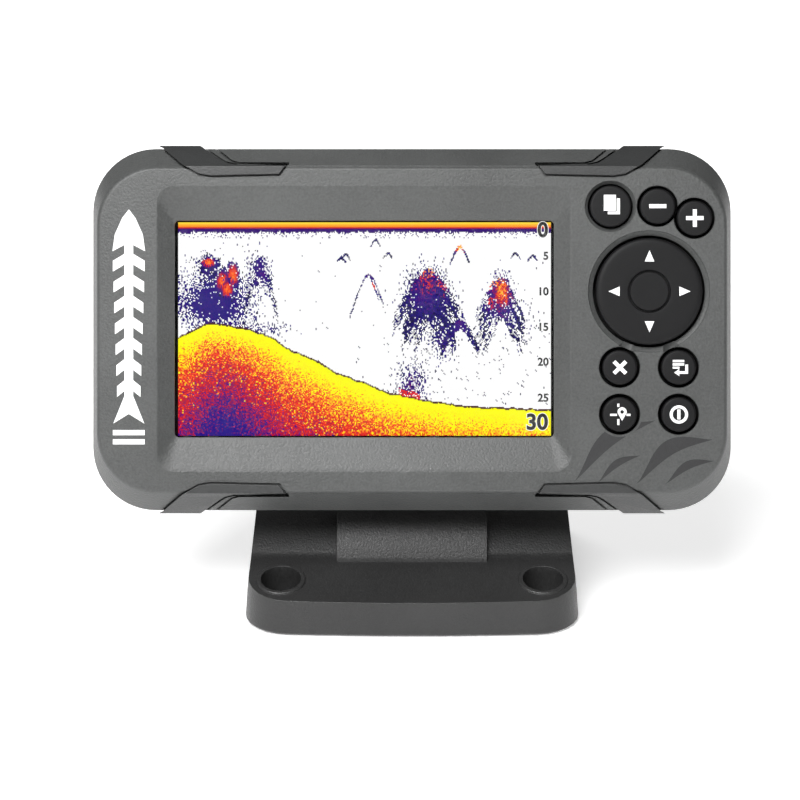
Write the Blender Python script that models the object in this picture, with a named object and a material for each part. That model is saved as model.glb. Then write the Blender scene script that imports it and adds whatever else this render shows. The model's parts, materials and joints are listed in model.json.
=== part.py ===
"""Fish finder on a tilting quick-release bracket, as separate solid pieces.

World: metres, +Z up, +X to the user's right, the screen faces -Y. The origin is the centre of the
bracket's underside. The display unit is drawn upright in its own frame: X to the right, Y into the unit,
Z up the face, and its origin at the centre of the front face. That frame is then tipped back.
All sizes below are millimetres.
"""

import math

import bmesh
import bpy
from mathutils import Vector

MM = 0.001
GAP = 0.3
ROUND_STEPS = 24
CORNER_STEPS = 6

# Display unit: where its front face's centre stands, and how far it leans back.
FACE_CENTRE = (0.0, -18.0, 76.0)
LEAN = math.radians(20)

# Display unit outlines: half width, half height and corner radius.
FACE = (79.6, 41.6, 15.0)
WIDEST = (81.2, 46.0, 16.0)
PLATE = 3.6
SEAM = 9.0
LIP_FRONT = 7.4
BACK_DEPTH = 24.0
WALL = 2.2

# Screen: a 95 x 54 mm picture, left of the middle.
SCREEN_X, SCREEN_Z = -12.05, 0.15
PICTURE = (47.6, 27.1)
RECESS = (52.0, 35.7, 4.2)
RECESS_DEPTH = 2.6
PANE = (52.0, 31.0)
CARRIER = (55.0, 32.8)
CELL = (52.7, 30.6)

# Keys: centre across and up the face, cap radius, radius of the dark well around the cap.
KEYS = {
    "pages_key": (49.9, 31.0, 5.2, 6.3),
    "zoom_out_key": (61.7, 31.0, 4.45, 5.05),
    "zoom_in_key": (71.0, 28.0, 4.4, 5.05),
    "exit_key": (52.2, -9.5, 4.35, 5.2),
    "menu_key": (67.0, -9.5, 4.35, 5.2),
    "waypoint_key": (52.2, -21.3, 4.35, 5.2),
    "power_key": (67.0, -21.3, 4.35, 5.2),
}
SHARED_WELL = ("zoom_out_key", "zoom_in_key")
KEY_PROUD = 0.9
KEY_BOTTOM = 4.4
KEY_GAP = 0.35
WELL_DEPTH = 1.2
DPAD = (59.6, 9.6, 13.4, 15.1)
DPAD_PIVOT_DEPTH = 4.0

# Corner trims, as seen from the front in the upper right corner.
TRIM_OUTLINE = [(71.6, 50.0), (55.5, 50.0), (48.6, 43.0), (45.0, 41.5), (31.8, 41.3),
                (33.0, 39.1), (52.0, 38.6), (57.8, 41.5)]
TRIM_PROUD = 1.0
TRIM_BACK = 12.0

# Screws that hold the two shells together: across, up, and how deep the housing's boss around each reaches.
SCREWS = [(-71.5, 31.5, 19.0), (-71.5, -31.5, 19.0), (69.4, 34.6, 19.0), (71.5, -31.5, 19.0),
          (43.4, 36.0, 20.4), (46.2, -33.0, 20.8)]
SCREW_SEAT = 16.5
POST_END = 11.5

# Rear boss with its dovetail channel, and the tongue that it slides onto.
BOSS = (26.0, 25.0, 6.0)
BOSS_BACK = 33.0
CHANNEL_FLOOR, CHANNEL_TOP = 26.4, 16.0
CHANNEL_WIDE, CHANNEL_NARROW = 11.6, 8.4
TONGUE_BOTTOM = -22.0
SADDLE_BACK = 37.0
LEVER_UP = 9.0
SHOE_TRAVEL = 1.0

# Tilt hinge, in the display unit's frame: depth and height of its axis.
HINGE_DEPTH, HINGE_UP = 47.0, -14.0
KNUCKLE_RADIUS, KNUCKLE_HALF = 7.0, 11.0
WASHER_HALF = 12.7
EAR_INNER, EAR_OUTER, EAR_RADIUS = 13.0, 19.5, 9.0
BOLT_RADIUS = 2.5

# Rear socket and vent.
SOCKET_X, SOCKET_Z = 44.0, -6.0
VENT_X, VENT_Z = -44.0, -6.0

# Bracket base.
BASE_HALF_WIDTH, BASE_FRONT, BASE_REAR, BASE_CORNER = 43.0, -38.0, 36.0, 11.0
BASE_BULGE = 1.6
LIP_Y, LIP_Z = -36.0, 9.5
FOOT_Y, FOOT_Z = -18.0, 12.9
BASE_SCREW_X, BASE_SCREW_Y = 33.6, -27.5
BASE_SCREW_FLOOR = 5.0


def clear_scene():
    for obj in list(bpy.data.objects):
        bpy.data.objects.remove(obj, do_unlink=True)


def material(name, colour, roughness, metallic=0.0):
    found = bpy.data.materials.get(name)
    if found:
        return found
    made = bpy.data.materials.new(name)
    made.use_nodes = True
    shader = made.node_tree.nodes["Principled BSDF"]
    shader.inputs["Base Color"].default_value = (*colour, 1.0)
    shader.inputs["Roughness"].default_value = roughness
    shader.inputs["Metallic"].default_value = metallic
    made.diffuse_color = (*colour, 1.0)
    return made


def face_plastic():
    return material("face_plastic", (0.15, 0.16, 0.155), 0.5)


def shell_plastic():
    return material("shell_plastic", (0.06, 0.062, 0.06), 0.55)


def trim_plastic():
    return material("trim_plastic", (0.03, 0.03, 0.03), 0.5)


def key_rubber():
    return material("key_rubber", (0.02, 0.02, 0.022), 0.6)


def seal_rubber():
    return material("seal_rubber", (0.02, 0.02, 0.02), 0.75)


def window_glass():
    return material("window_glass", (0.85, 0.88, 0.9), 0.05)


def panel_glass():
    return material("panel_glass", (0.7, 0.7, 0.72), 0.2)


def carrier_metal():
    return material("carrier_metal", (0.6, 0.6, 0.6), 0.35, 1.0)


def board_laminate():
    return material("board_laminate", (0.02, 0.12, 0.05), 0.45)


def antenna_ceramic():
    return material("antenna_ceramic", (0.65, 0.6, 0.5), 0.5)


def screw_steel():
    return material("screw_steel", (0.55, 0.55, 0.56), 0.3, 1.0)


def contact_brass():
    return material("contact_brass", (0.75, 0.55, 0.25), 0.3, 1.0)


def bracket_plastic():
    return material("bracket_plastic", (0.035, 0.035, 0.036), 0.55)


def frame_at(name, place_mm, lean=0.0, parent=None):
    """An empty: a sub-assembly's own frame."""
    empty = bpy.data.objects.new(name, None)
    bpy.context.scene.collection.objects.link(empty)
    empty.parent = parent
    empty.location = Vector(place_mm) * MM
    empty.rotation_euler = (lean, 0.0, 0.0)
    return empty


def add_loft(bm, rings):
    """A closed skin over rings of equal length, with a flat cap on the first and the last."""
    rows = [[bm.verts.new(Vector(point) * MM) for point in ring] for ring in rings]
    count = len(rows[0])
    for low, high in zip(rows, rows[1:]):
        for i in range(count):
            j = (i + 1) % count
            bm.faces.new((low[i], low[j], high[j], high[i]))
    bm.faces.new(rows[0])
    bm.faces.new(rows[-1])


def outline(half_width, half_height, radius, centre=(0.0, 0.0), steps=CORNER_STEPS):
    """A rounded rectangle as (x, z) points."""
    corners = [(1, 1, 0), (-1, 1, 90), (-1, -1, 180), (1, -1, 270)]
    points = []
    for side_x, side_z, start in corners:
        middle_x = centre[0] + side_x * (half_width - radius)
        middle_z = centre[1] + side_z * (half_height - radius)
        for step in range(steps + 1):
            turn = math.radians(start + 90 * step / steps)
            points.append((middle_x + radius * math.cos(turn), middle_z + radius * math.sin(turn)))
    return points


def rounded_ring(depth, half_width, half_height, radius, centre=(0.0, 0.0)):
    return [(x, depth, z) for x, z in outline(half_width, half_height, radius, centre)]


def circle_ring(depth, radius, centre=(0.0, 0.0), steps=ROUND_STEPS):
    turns = [2 * math.pi * step / steps for step in range(steps)]
    return [(centre[0] + radius * math.cos(t), depth, centre[1] + radius * math.sin(t)) for t in turns]


def add_turned(bm, profile, centre=(0.0, 0.0), steps=ROUND_STEPS):
    """A body turned about an axis along Y, from (depth, radius) pairs."""
    add_loft(bm, [circle_ring(depth, radius, centre, steps) for depth, radius in profile])


def add_turned_along_x(bm, profile, centre=(0.0, 0.0), steps=ROUND_STEPS):
    """A body turned about an axis along X, from (x, radius) pairs; centre is (y, z)."""
    turns = [2 * math.pi * step / steps for step in range(steps)]
    rings = [
        [(x, centre[0] + r * math.cos(t), centre[1] + r * math.sin(t)) for t in turns] for x, r in profile
    ]
    add_loft(bm, rings)


def add_box(bm, low, high):
    (x0, y0, z0), (x1, y1, z1) = low, high
    ring = [(x0, z0), (x1, z0), (x1, z1), (x0, z1)]
    add_loft(bm, [[(x, y, z) for x, z in ring] for y in (y0, y1)])


def add_prism_along_x(bm, profile, x0, x1):
    """A (y, z) outline pushed along X."""
    add_loft(bm, [[(x, y, z) for y, z in profile] for x in (x0, x1)])


def arc(centre, radius, start, end, steps):
    """Points on an arc, angles in degrees."""
    turns = [math.radians(start + (end - start) * step / steps) for step in range(steps + 1)]
    return [(centre[0] + radius * math.cos(t), centre[1] + radius * math.sin(t)) for t in turns]


def finish(name, bm, parent, surface, place_mm=(0.0, 0.0, 0.0)):
    """A named piece from the bmesh, its origin at place_mm in the parent's frame."""
    offset = Vector(place_mm) * MM
    bmesh.ops.translate(bm, verts=bm.verts, vec=-offset)
    bmesh.ops.recalc_face_normals(bm, faces=bm.faces)
    mesh = bpy.data.meshes.new(name)
    bm.to_mesh(mesh)
    bm.free()
    mesh.shade_smooth()
    mesh.set_sharp_from_angle(angle=math.radians(35))
    obj = bpy.data.objects.new(name, mesh)
    bpy.context.scene.collection.objects.link(obj)
    obj.parent = parent
    obj.location = offset
    if surface:
        mesh.materials.append(surface)
    return obj


def helper(name, bm, parent):
    """A hidden solid, used only to cut or to add."""
    obj = finish(name, bm, parent, None)
    obj.hide_render = True
    obj.display_type = "WIRE"
    return obj


def combine(obj, other, operation):
    modifier = obj.modifiers.new(other.name, "BOOLEAN")
    modifier.operation = operation
    modifier.object = other
    modifier.solver = "EXACT"


# ---------------------------------------------------------------- display unit


def trim_rings(grow):
    """The outside of both shells together, grown outwards."""
    stations = [
        (-grow, FACE[0] - 1.3 + grow, FACE[1] - 1.4 + grow),
        (1.0, FACE[0] - 0.2 + grow, FACE[1] - 0.3 + grow),
        (SEAM, WIDEST[0] + grow, WIDEST[1] + grow),
        (TRIM_BACK + 2.0, WIDEST[0] - 0.1 + grow, WIDEST[1] - 0.3 + grow),
    ]
    return [rounded_ring(depth, hw, hh, WIDEST[2]) for depth, hw, hh in stations]


def front_bezel(unit):
    bm = bmesh.new()
    add_loft(bm, [
        rounded_ring(PLATE, FACE[0] - 3.4, FACE[1] - 3.4, 11.5),
        rounded_ring(SEAM, WIDEST[0] - WALL, WIDEST[1] - WALL, 14.0),
        rounded_ring(SEAM, *WIDEST),
        rounded_ring(1.0, FACE[0] - 0.2, FACE[1] - 0.3, FACE[2]),
        rounded_ring(0.3, FACE[0] - 0.6, FACE[1] - 0.7, FACE[2]),
        rounded_ring(0.0, FACE[0] - 1.3, FACE[1] - 1.4, FACE[2] - 0.6),
    ])
    bezel = finish("front_bezel", bm, unit, face_plastic())

    posts = bmesh.new()
    for x, z, _ in SCREWS:
        add_turned(posts, [(PLATE - 1.0, 1.95), (POST_END, 1.9)], (x, z), 16)
    combine(bezel, helper("bezel_posts", posts, unit), "UNION")

    cuts = bmesh.new()
    screen = (SCREEN_X, SCREEN_Z)
    slope = (RECESS[0] - PICTURE[0], RECESS[1] - PICTURE[1])
    back = PLATE + 1.0
    add_loft(cuts, [
        rounded_ring(-1.0, RECESS[0] + slope[0] / RECESS_DEPTH, RECESS[1] + slope[1] / RECESS_DEPTH,
                     RECESS[2], screen),
        rounded_ring(RECESS_DEPTH, *PICTURE, 1.2, screen),
        rounded_ring(back, *PICTURE, 1.2, screen),
    ])
    for name, (x, z, cap, well) in KEYS.items():
        if name not in SHARED_WELL:
            add_turned(cuts, [(-1.0, well + 0.4), (WELL_DEPTH, well - 0.1), (WELL_DEPTH, cap + KEY_GAP),
                              (back, cap + KEY_GAP)], (x, z))
    combine(bezel, helper("bezel_holes", cuts, unit), "DIFFERENCE")

    x, z, cap, well = DPAD
    dish = bmesh.new()
    add_turned(dish, [(-1.0, well + 0.5), (WELL_DEPTH, well - 0.3), (WELL_DEPTH, cap + 0.5),
                      (back, cap + 0.5)], (x, z), 36)
    combine(bezel, helper("dpad_well", dish, unit), "DIFFERENCE")

    for name in SHARED_WELL:
        x, z, cap, well = KEYS[name]
        well_cut = bmesh.new()
        add_turned(well_cut, [(-1.0, well), (back, well)], (x, z))
        combine(bezel, helper(name + "_well", well_cut, unit), "DIFFERENCE")

    pilots = bmesh.new()
    for x, z, _ in SCREWS:
        add_turned(pilots, [(6.0, 1.3), (POST_END + 1.0, 1.3)], (x, z), 12)
    combine(bezel, helper("bezel_pilots", pilots, unit), "DIFFERENCE")


def rear_housing(unit):
    bm = bmesh.new()
    add_loft(bm, [
        rounded_ring(BACK_DEPTH, 63.0, 29.5, 11.0),
        rounded_ring(BACK_DEPTH - 0.9, 66.5, 33.0, 12.5),
        rounded_ring(19.0, 77.0, 41.8, 15.0),
        rounded_ring(13.0, 81.0, 45.6, 16.0),
        rounded_ring(SEAM + GAP, *WIDEST),
        rounded_ring(SEAM + GAP, WIDEST[0] - 2.9, WIDEST[1] - 2.9, 13.6),
        rounded_ring(LIP_FRONT, WIDEST[0] - 3.9, WIDEST[1] - 4.7, 12.6),
        rounded_ring(LIP_FRONT, WIDEST[0] - 5.2, WIDEST[1] - 6.0, 11.6),
        rounded_ring(SEAM + 0.8, WIDEST[0] - 4.6, WIDEST[1] - 4.8, 12.0),
        rounded_ring(13.0, WIDEST[0] - 3.4, WIDEST[1] - 3.6, 13.0),
        rounded_ring(18.0, 75.2, 39.8, 13.0),
        rounded_ring(BACK_DEPTH - WALL, 64.5, 31.0, 10.0),
    ])
    housing = finish("rear_housing", bm, unit, shell_plastic())

    extra = bmesh.new()
    add_loft(extra, [
        rounded_ring(BACK_DEPTH - 1.5, *BOSS),
        rounded_ring(BOSS_BACK - 1.2, BOSS[0] - 1.0, BOSS[1] - 1.0, BOSS[2]),
        rounded_ring(BOSS_BACK, BOSS[0] - 2.2, BOSS[1] - 2.2, BOSS[2] - 1.0),
    ])
    for x, z, boss_back in SCREWS:
        add_turned(extra, [(POST_END + GAP, 3.9), (boss_back, 3.9)], (x, z), 16)
    combine(housing, helper("housing_bosses", extra, unit), "UNION")

    cuts = bmesh.new()
    flare = (CHANNEL_WIDE - CHANNEL_NARROW) / (BOSS_BACK - CHANNEL_FLOOR)
    beyond = 1.0
    section = [(-CHANNEL_WIDE, CHANNEL_FLOOR), (CHANNEL_WIDE, CHANNEL_FLOOR),
               (CHANNEL_NARROW - flare * beyond, BOSS_BACK + beyond),
               (-CHANNEL_NARROW + flare * beyond, BOSS_BACK + beyond)]
    add_loft(cuts, [[(x, y, z) for x, y in section] for z in (-BOSS[1] - 4.0, CHANNEL_TOP)])
    for x, z, _ in SCREWS:
        add_turned(cuts, [(POST_END - 1.0, 1.8), (SCREW_SEAT, 1.8), (SCREW_SEAT, 3.1),
                          (BACK_DEPTH + 1.0, 3.1)], (x, z), 20)
    add_turned(cuts, [(BACK_DEPTH - 4.0, 8.9), (BACK_DEPTH + 1.0, 8.9)], (SOCKET_X, SOCKET_Z))
    add_turned(cuts, [(BACK_DEPTH - 4.0, 2.4), (BACK_DEPTH + 1.0, 2.4)], (VENT_X, VENT_Z), 16)
    combine(housing, helper("housing_cuts", cuts, unit), "DIFFERENCE")


def housing_seal(unit):
    bm = bmesh.new()
    inner = (FACE[0] - 3.7, FACE[1] - 2.6, 11.5)
    outer = (FACE[0] - 2.7, FACE[1] - 1.6, 12.5)
    add_ring(bm, 5.8, LIP_FRONT - GAP, inner, outer, (0.0, 0.0))
    finish("housing_seal", bm, unit, seal_rubber())


def add_ring(bm, front, back, inner, outer, centre):
    """A flat frame: a rounded rectangle with a rounded rectangular opening."""
    rings = [
        rounded_ring(front, *inner, centre),
        rounded_ring(back, *inner, centre),
        rounded_ring(back, *outer, centre),
        rounded_ring(front, *outer, centre),
    ]
    rows = [[bm.verts.new(Vector(point) * MM) for point in ring] for ring in rings]
    count = len(rows[0])
    for k, row in enumerate(rows):
        after = rows[(k + 1) % len(rows)]
        for i in range(count):
            j = (i + 1) % count
            bm.faces.new((row[i], row[j], after[j], after[i]))


def add_slab(bm, front, back, half_width, half_height, radius, centre):
    add_loft(bm, [rounded_ring(depth, half_width, half_height, radius, centre) for depth in (front, back)])


def screen_stack(unit):
    """Gasket, pane, liquid crystal cell, light guide and the metal tray that holds them."""
    screen = (SCREEN_X, SCREEN_Z)
    bm = bmesh.new()
    add_ring(bm, 3.9, 4.5, (PICTURE[0] + 0.6, PICTURE[1] + 0.6, 1.0), (*PANE, 1.5), screen)
    finish("window_gasket", bm, unit, seal_rubber())
    layers = [
        ("window_pane", 4.8, 5.8, (*PANE, 1.5), window_glass()),
        ("lcd_cell", 6.4, 7.6, (*CELL, 0.8), panel_glass()),
        ("lcd_backlight", 7.9, 9.7, (CELL[0] - 0.4, CELL[1] - 0.4, 0.8), panel_glass()),
    ]
    for name, front, back, size, surface in layers:
        bm = bmesh.new()
        add_slab(bm, front, back, *size, screen)
        finish(name, bm, unit, surface)
    bm = bmesh.new()
    add_loft(bm, [
        rounded_ring(11.0, *CARRIER, 2.0, screen),
        rounded_ring(6.2, *CARRIER, 2.0, screen),
        rounded_ring(6.2, CARRIER[0] - 1.6, CARRIER[1] - 1.6, 1.2, screen),
        rounded_ring(10.1, CARRIER[0] - 1.6, CARRIER[1] - 1.6, 1.2, screen),
    ])
    finish("lcd_carrier", bm, unit, carrier_metal())


def main_board(unit):
    bm = bmesh.new()
    add_slab(bm, 13.0, 14.6, 53.5, 31.0, 2.0, (SCREEN_X, SCREEN_Z))
    finish("main_board", bm, unit, board_laminate())
    bm = bmesh.new()
    add_box(bm, (-30.0, 14.9, -8.0), (8.0, 17.6, 20.0))
    finish("processor_shield", bm, unit, carrier_metal())
    bm = bmesh.new()
    add_box(bm, (-59.0, 14.9, 9.0), (-41.0, 18.6, 27.0))
    finish("gps_antenna", bm, unit, antenna_ceramic())
    bm = bmesh.new()
    add_turned(bm, [(14.9, 6.0), (19.4, 6.0)], (22.0, -21.0))
    finish("alarm_buzzer", bm, unit, seal_rubber())


def lcd_ribbon(unit):
    """A flexible circuit folded round the board's lower edge."""
    edge, thick = SCREEN_Z - 31.0 - 0.8, 0.3
    outer = [(11.5, -18.0), (11.5, edge), (12.3, edge - 1.2), (15.0, edge - 1.2), (15.8, edge), (15.3, -24.0)]
    inner = [(15.0, -24.0), (15.5, edge), (14.9, edge - 0.9), (12.4, edge - 0.9), (11.8, edge), (11.8, -18.0)]
    bm = bmesh.new()
    add_prism_along_x(bm, outer + inner, -46.0, -22.0)
    finish("lcd_ribbon", bm, unit, material("ribbon_film", (0.55, 0.3, 0.08), 0.4))


def key_stack(unit):
    """Silicone mat, dome sheet and key board behind the keys."""
    area = (59.9, 3.7)
    half = (14.3, 32.4)
    notches = bmesh.new()
    for x, z, _ in SCREWS:
        add_turned(notches, [(5.0, 3.0), (12.0, 3.0)], (x, z), 16)
    notches = helper("post_notches", notches, unit)

    bm = bmesh.new()
    add_slab(bm, 5.9, 6.7, *half, 10.0, area)
    combine(finish("keypad_mat", bm, unit, seal_rubber()), notches, "DIFFERENCE")

    bm = bmesh.new()
    add_slab(bm, 7.3, 7.6, *half, 10.0, area)
    sheet = finish("dome_sheet", bm, unit, screw_steel())
    domes = bmesh.new()
    spots = [(x, z) for x, z, _, _ in KEYS.values()]
    arm = 9.0
    spots += [(DPAD[0] + arm * dx, DPAD[1] + arm * dz) for dx, dz in ((0, 1), (0, -1), (1, 0), (-1, 0))]
    for spot in spots:
        add_turned(domes, [(7.45, 2.6), (7.2, 2.2), (7.0, 1.2)], spot, 12)
    combine(sheet, helper("domes", domes, unit), "UNION")
    combine(sheet, notches, "DIFFERENCE")

    bm = bmesh.new()
    add_slab(bm, 7.9, 9.3, *half, 10.0, area)
    combine(finish("key_board", bm, unit, board_laminate()), notches, "DIFFERENCE")


def keys(unit):
    for name, (x, z, cap, _) in KEYS.items():
        bm = bmesh.new()
        add_turned(bm, [(KEY_BOTTOM, cap - 0.3), (KEY_BOTTOM - 0.3, cap), (-KEY_PROUD + 0.45, cap),
                        (-KEY_PROUD + 0.12, cap - 0.2), (-KEY_PROUD, cap - 0.6)], (x, z))
        finish(name, bm, unit, key_rubber(), (x, 0.0, z))


def dpad(unit):
    x, z, cap, _ = DPAD
    pivot = (x, DPAD_PIVOT_DEPTH, z)
    bm = bmesh.new()
    add_turned(bm, [(3.2, cap - 0.3), (2.9, cap), (-0.4, cap), (-1.0, cap - 0.4), (-1.2, cap - 1.2),
                    (-0.9, 5.5), (-0.5, 5.1), (-0.9, 4.7), (-1.0, 3.5)], (x, z), 36)
    finish("dpad_rocker", bm, unit, key_rubber(), pivot)
    bm = bmesh.new()
    add_turned(bm, [(3.6, 2.4), (4.0, 2.8), (4.7, 2.8), (5.1, 2.0)], (x, z), 20)
    finish("dpad_hub", bm, unit, key_rubber(), pivot)


def corner_trims(unit):
    corners = {"top_right": (1, 1), "top_left": (-1, 1), "bottom_right": (1, -1), "bottom_left": (-1, -1)}
    outside = bmesh.new()
    add_loft(outside, trim_rings(TRIM_PROUD))
    outside = helper("trim_outside", outside, unit)
    inside = bmesh.new()
    add_loft(inside, trim_rings(GAP))
    inside = helper("trim_inside", inside, unit)
    for corner, (side_x, side_z) in corners.items():
        bm = bmesh.new()
        points = [(side_x * x, side_z * z) for x, z in TRIM_OUTLINE]
        add_loft(bm, [[(x, y, z) for x, z in points] for y in (-2.0, TRIM_BACK)])
        trim = finish("corner_trim_" + corner, bm, unit, trim_plastic())
        combine(trim, outside, "INTERSECT")
        combine(trim, inside, "DIFFERENCE")


def housing_screws(unit):
    for number, (x, z, _) in enumerate(SCREWS, 1):
        bm = bmesh.new()
        add_turned(bm, [(7.0, 0.5), (7.6, 1.0), (SCREW_SEAT + GAP, 1.0), (SCREW_SEAT + GAP, 2.7),
                        (SCREW_SEAT + 1.8, 2.7), (SCREW_SEAT + 2.3, 2.1), (SCREW_SEAT + 2.3, 1.1),
                        (SCREW_SEAT + 1.3, 1.0)], (x, z), 16)
        finish("housing_screw_%d" % number, bm, unit, screw_steel(), (x, SCREW_SEAT, z))


def rear_socket(unit):
    bm = bmesh.new()
    add_turned(bm, [(15.2, 8.5), (BACK_DEPTH + GAP, 8.5), (BACK_DEPTH + GAP, 11.5), (26.0, 11.5),
                    (26.6, 10.9), (26.6, 6.9), (17.0, 6.9)], (SOCKET_X, SOCKET_Z))
    socket = finish("rear_socket", bm, unit, trim_plastic())
    key_cut = bmesh.new()
    add_box(key_cut, (SOCKET_X - 1.2, 18.0, SOCKET_Z + 5.5), (SOCKET_X + 1.2, 28.0, SOCKET_Z + 8.0))
    combine(socket, helper("socket_keyway", key_cut, unit), "DIFFERENCE")

    bm = bmesh.new()
    add_turned(bm, [(17.3, 6.5), (18.3, 6.5)], (SOCKET_X, SOCKET_Z))
    insert = finish("socket_pins", bm, unit, contact_brass())
    pins = bmesh.new()
    spots = [(SOCKET_X, SOCKET_Z)]
    spots += [(SOCKET_X + 4.0 * math.cos(t), SOCKET_Z + 4.0 * math.sin(t))
              for t in (2 * math.pi * step / 6 for step in range(6))]
    for spot in spots:
        add_turned(pins, [(17.9, 0.6), (20.0, 0.6), (20.4, 0.3)], spot, 10)
    combine(insert, helper("pins", pins, unit), "UNION")


def vent_plug(unit):
    bm = bmesh.new()
    add_turned(bm, [(20.8, 2.0), (BACK_DEPTH + GAP, 2.0), (BACK_DEPTH + GAP, 4.2), (25.0, 4.2), (25.4, 3.6)],
               (VENT_X, VENT_Z), 20)
    finish("vent_plug", bm, unit, seal_rubber())


# ---------------------------------------------------------------- bracket


def tilt_head(unit):
    """Saddle plate with the dovetail tongue in front of it and the hinge knuckle behind it."""
    bm = bmesh.new()
    plate_front = BOSS_BACK + GAP
    add_loft(bm, [
        rounded_ring(plate_front, 19.0, 21.5, 5.0, (0.0, -1.0)),
        rounded_ring(SADDLE_BACK - 0.6, 19.0, 21.5, 5.0, (0.0, -1.0)),
        rounded_ring(SADDLE_BACK, 18.4, 20.9, 4.4, (0.0, -1.0)),
    ])
    head = finish("tilt_head", bm, unit, bracket_plastic())

    tongue = bmesh.new()
    slope = (CHANNEL_WIDE - CHANNEL_NARROW) / (BOSS_BACK - CHANNEL_FLOOR)
    front, back = CHANNEL_FLOOR + 0.5, SADDLE_BACK - 2.0
    side = 0.45
    wide = CHANNEL_WIDE - slope * (front - CHANNEL_FLOOR) - side
    narrow = CHANNEL_WIDE - slope * (back - CHANNEL_FLOOR) - side
    section = [(-wide, front), (wide, front), (narrow, back), (-narrow, back)]
    add_loft(tongue, [[(x, y, z) for x, y in section] for z in (TONGUE_BOTTOM, CHANNEL_TOP - GAP)])
    combine(head, helper("head_tongue", tongue, unit), "UNION")

    knuckle = bmesh.new()
    hinge = (HINGE_DEPTH, HINGE_UP)
    profile = [(SADDLE_BACK - 1.5, 0.0)] + arc(hinge, KNUCKLE_RADIUS, 75, -120, 14)
    profile += [(SADDLE_BACK - 1.5, -22.0)]
    add_prism_along_x(knuckle, profile, -KNUCKLE_HALF, KNUCKLE_HALF)
    combine(head, helper("head_knuckle", knuckle, unit), "UNION")

    bore = bmesh.new()
    add_turned_along_x(bore, [(-20.0, BOLT_RADIUS + GAP), (20.0, BOLT_RADIUS + GAP)], hinge, 20)
    combine(head, helper("head_bore", bore, unit), "DIFFERENCE")

    seat = bmesh.new()
    add_box(seat, (-7.9, 25.0, 3.6), (7.9, 30.4, 14.4))
    combine(head, helper("shoe_pocket", seat, unit), "DIFFERENCE")
    pin_hole = bmesh.new()
    add_turned(pin_hole, [(29.0, 2.8), (SADDLE_BACK + 1.0, 2.8)], (0.0, LEVER_UP), 20)
    combine(head, helper("lever_pin_hole", pin_hole, unit), "DIFFERENCE")


def quick_release(unit):
    """Clamp shoe in the tongue, the pin that drives it and the thumb lever on the pin."""
    bm = bmesh.new()
    add_box(bm, (-7.5, CHANNEL_FLOOR + 0.5, 4.0), (7.5, 29.0, 14.0))
    finish("clamp_shoe", bm, unit, trim_plastic(), (0.0, 28.0, LEVER_UP))
    bm = bmesh.new()
    add_turned(bm, [(30.6, 2.1), (31.0, 2.45), (42.4, 2.45), (42.4, 3.6), (43.2, 3.6), (43.6, 3.0)],
               (0.0, LEVER_UP), 20)
    finish("lever_pin", bm, unit, screw_steel(), (0.0, SADDLE_BACK, LEVER_UP))

    bm = bmesh.new()
    front, back = SADDLE_BACK + 0.4, 42.1
    hub = arc((0.0, LEVER_UP), 6.0, 40, 320, 16)
    grip = arc((25.0, LEVER_UP), 4.6, -80, 80, 8)
    points = hub + grip
    add_loft(bm, [[(x, y, z) for x, z in points] for y in (front, back)])
    lever = finish("release_lever", bm, unit, trim_plastic(), (0.0, SADDLE_BACK, LEVER_UP))
    hole = bmesh.new()
    add_turned(hole, [(SADDLE_BACK - 1.0, 2.45 + GAP), (44.0, 2.45 + GAP)], (0.0, LEVER_UP), 20)
    combine(lever, helper("lever_bore", hole, unit), "DIFFERENCE")


def tilt_fasteners(unit):
    hinge = (HINGE_DEPTH, HINGE_UP)
    place = (0.0, HINGE_DEPTH, HINGE_UP)
    head_start = EAR_OUTER + GAP
    bm = bmesh.new()
    add_turned_along_x(bm, [(-head_start - 3.4, 3.6), (-head_start - 3.0, 4.4), (-head_start, 4.4),
                            (-head_start, BOLT_RADIUS), (head_start + 4.6, BOLT_RADIUS),
                            (head_start + 5.2, BOLT_RADIUS - 0.6)], hinge, 20)
    finish("tilt_bolt", bm, unit, screw_steel(), place)

    bm = bmesh.new()
    add_turned_along_x(bm, [(head_start, 4.5), (head_start + 4.0, 4.5)], hinge, 6)
    nut = finish("tilt_nut", bm, unit, screw_steel(), place)
    thread = bmesh.new()
    add_turned_along_x(thread, [(head_start - 1.0, BOLT_RADIUS + GAP), (head_start + 5.0, BOLT_RADIUS + GAP)],
                       hinge, 20)
    combine(nut, helper("nut_thread", thread, unit), "DIFFERENCE")

    for name, side in (("left", -1), ("right", 1)):
        bm = bmesh.new()
        add_turned_along_x(bm, [(side * (KNUCKLE_HALF + GAP), 6.4), (side * WASHER_HALF, 6.4)], hinge)
        washer = finish("friction_washer_" + name, bm, unit, seal_rubber(), place)
        bore = bmesh.new()
        add_turned_along_x(bore, [(side * 10.0, BOLT_RADIUS + GAP), (side * 14.0, BOLT_RADIUS + GAP)],
                           hinge, 20)
        combine(washer, helper("washer_bore_" + name, bore, unit), "DIFFERENCE")


def hinge_in_world():
    """The hinge axis's (y, z) on the bracket, from its place in the display unit's frame."""
    y = FACE_CENTRE[1] + HINGE_DEPTH * math.cos(LEAN) + HINGE_UP * math.sin(LEAN)
    z = FACE_CENTRE[2] - HINGE_DEPTH * math.sin(LEAN) + HINGE_UP * math.cos(LEAN)
    return y, z


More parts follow.
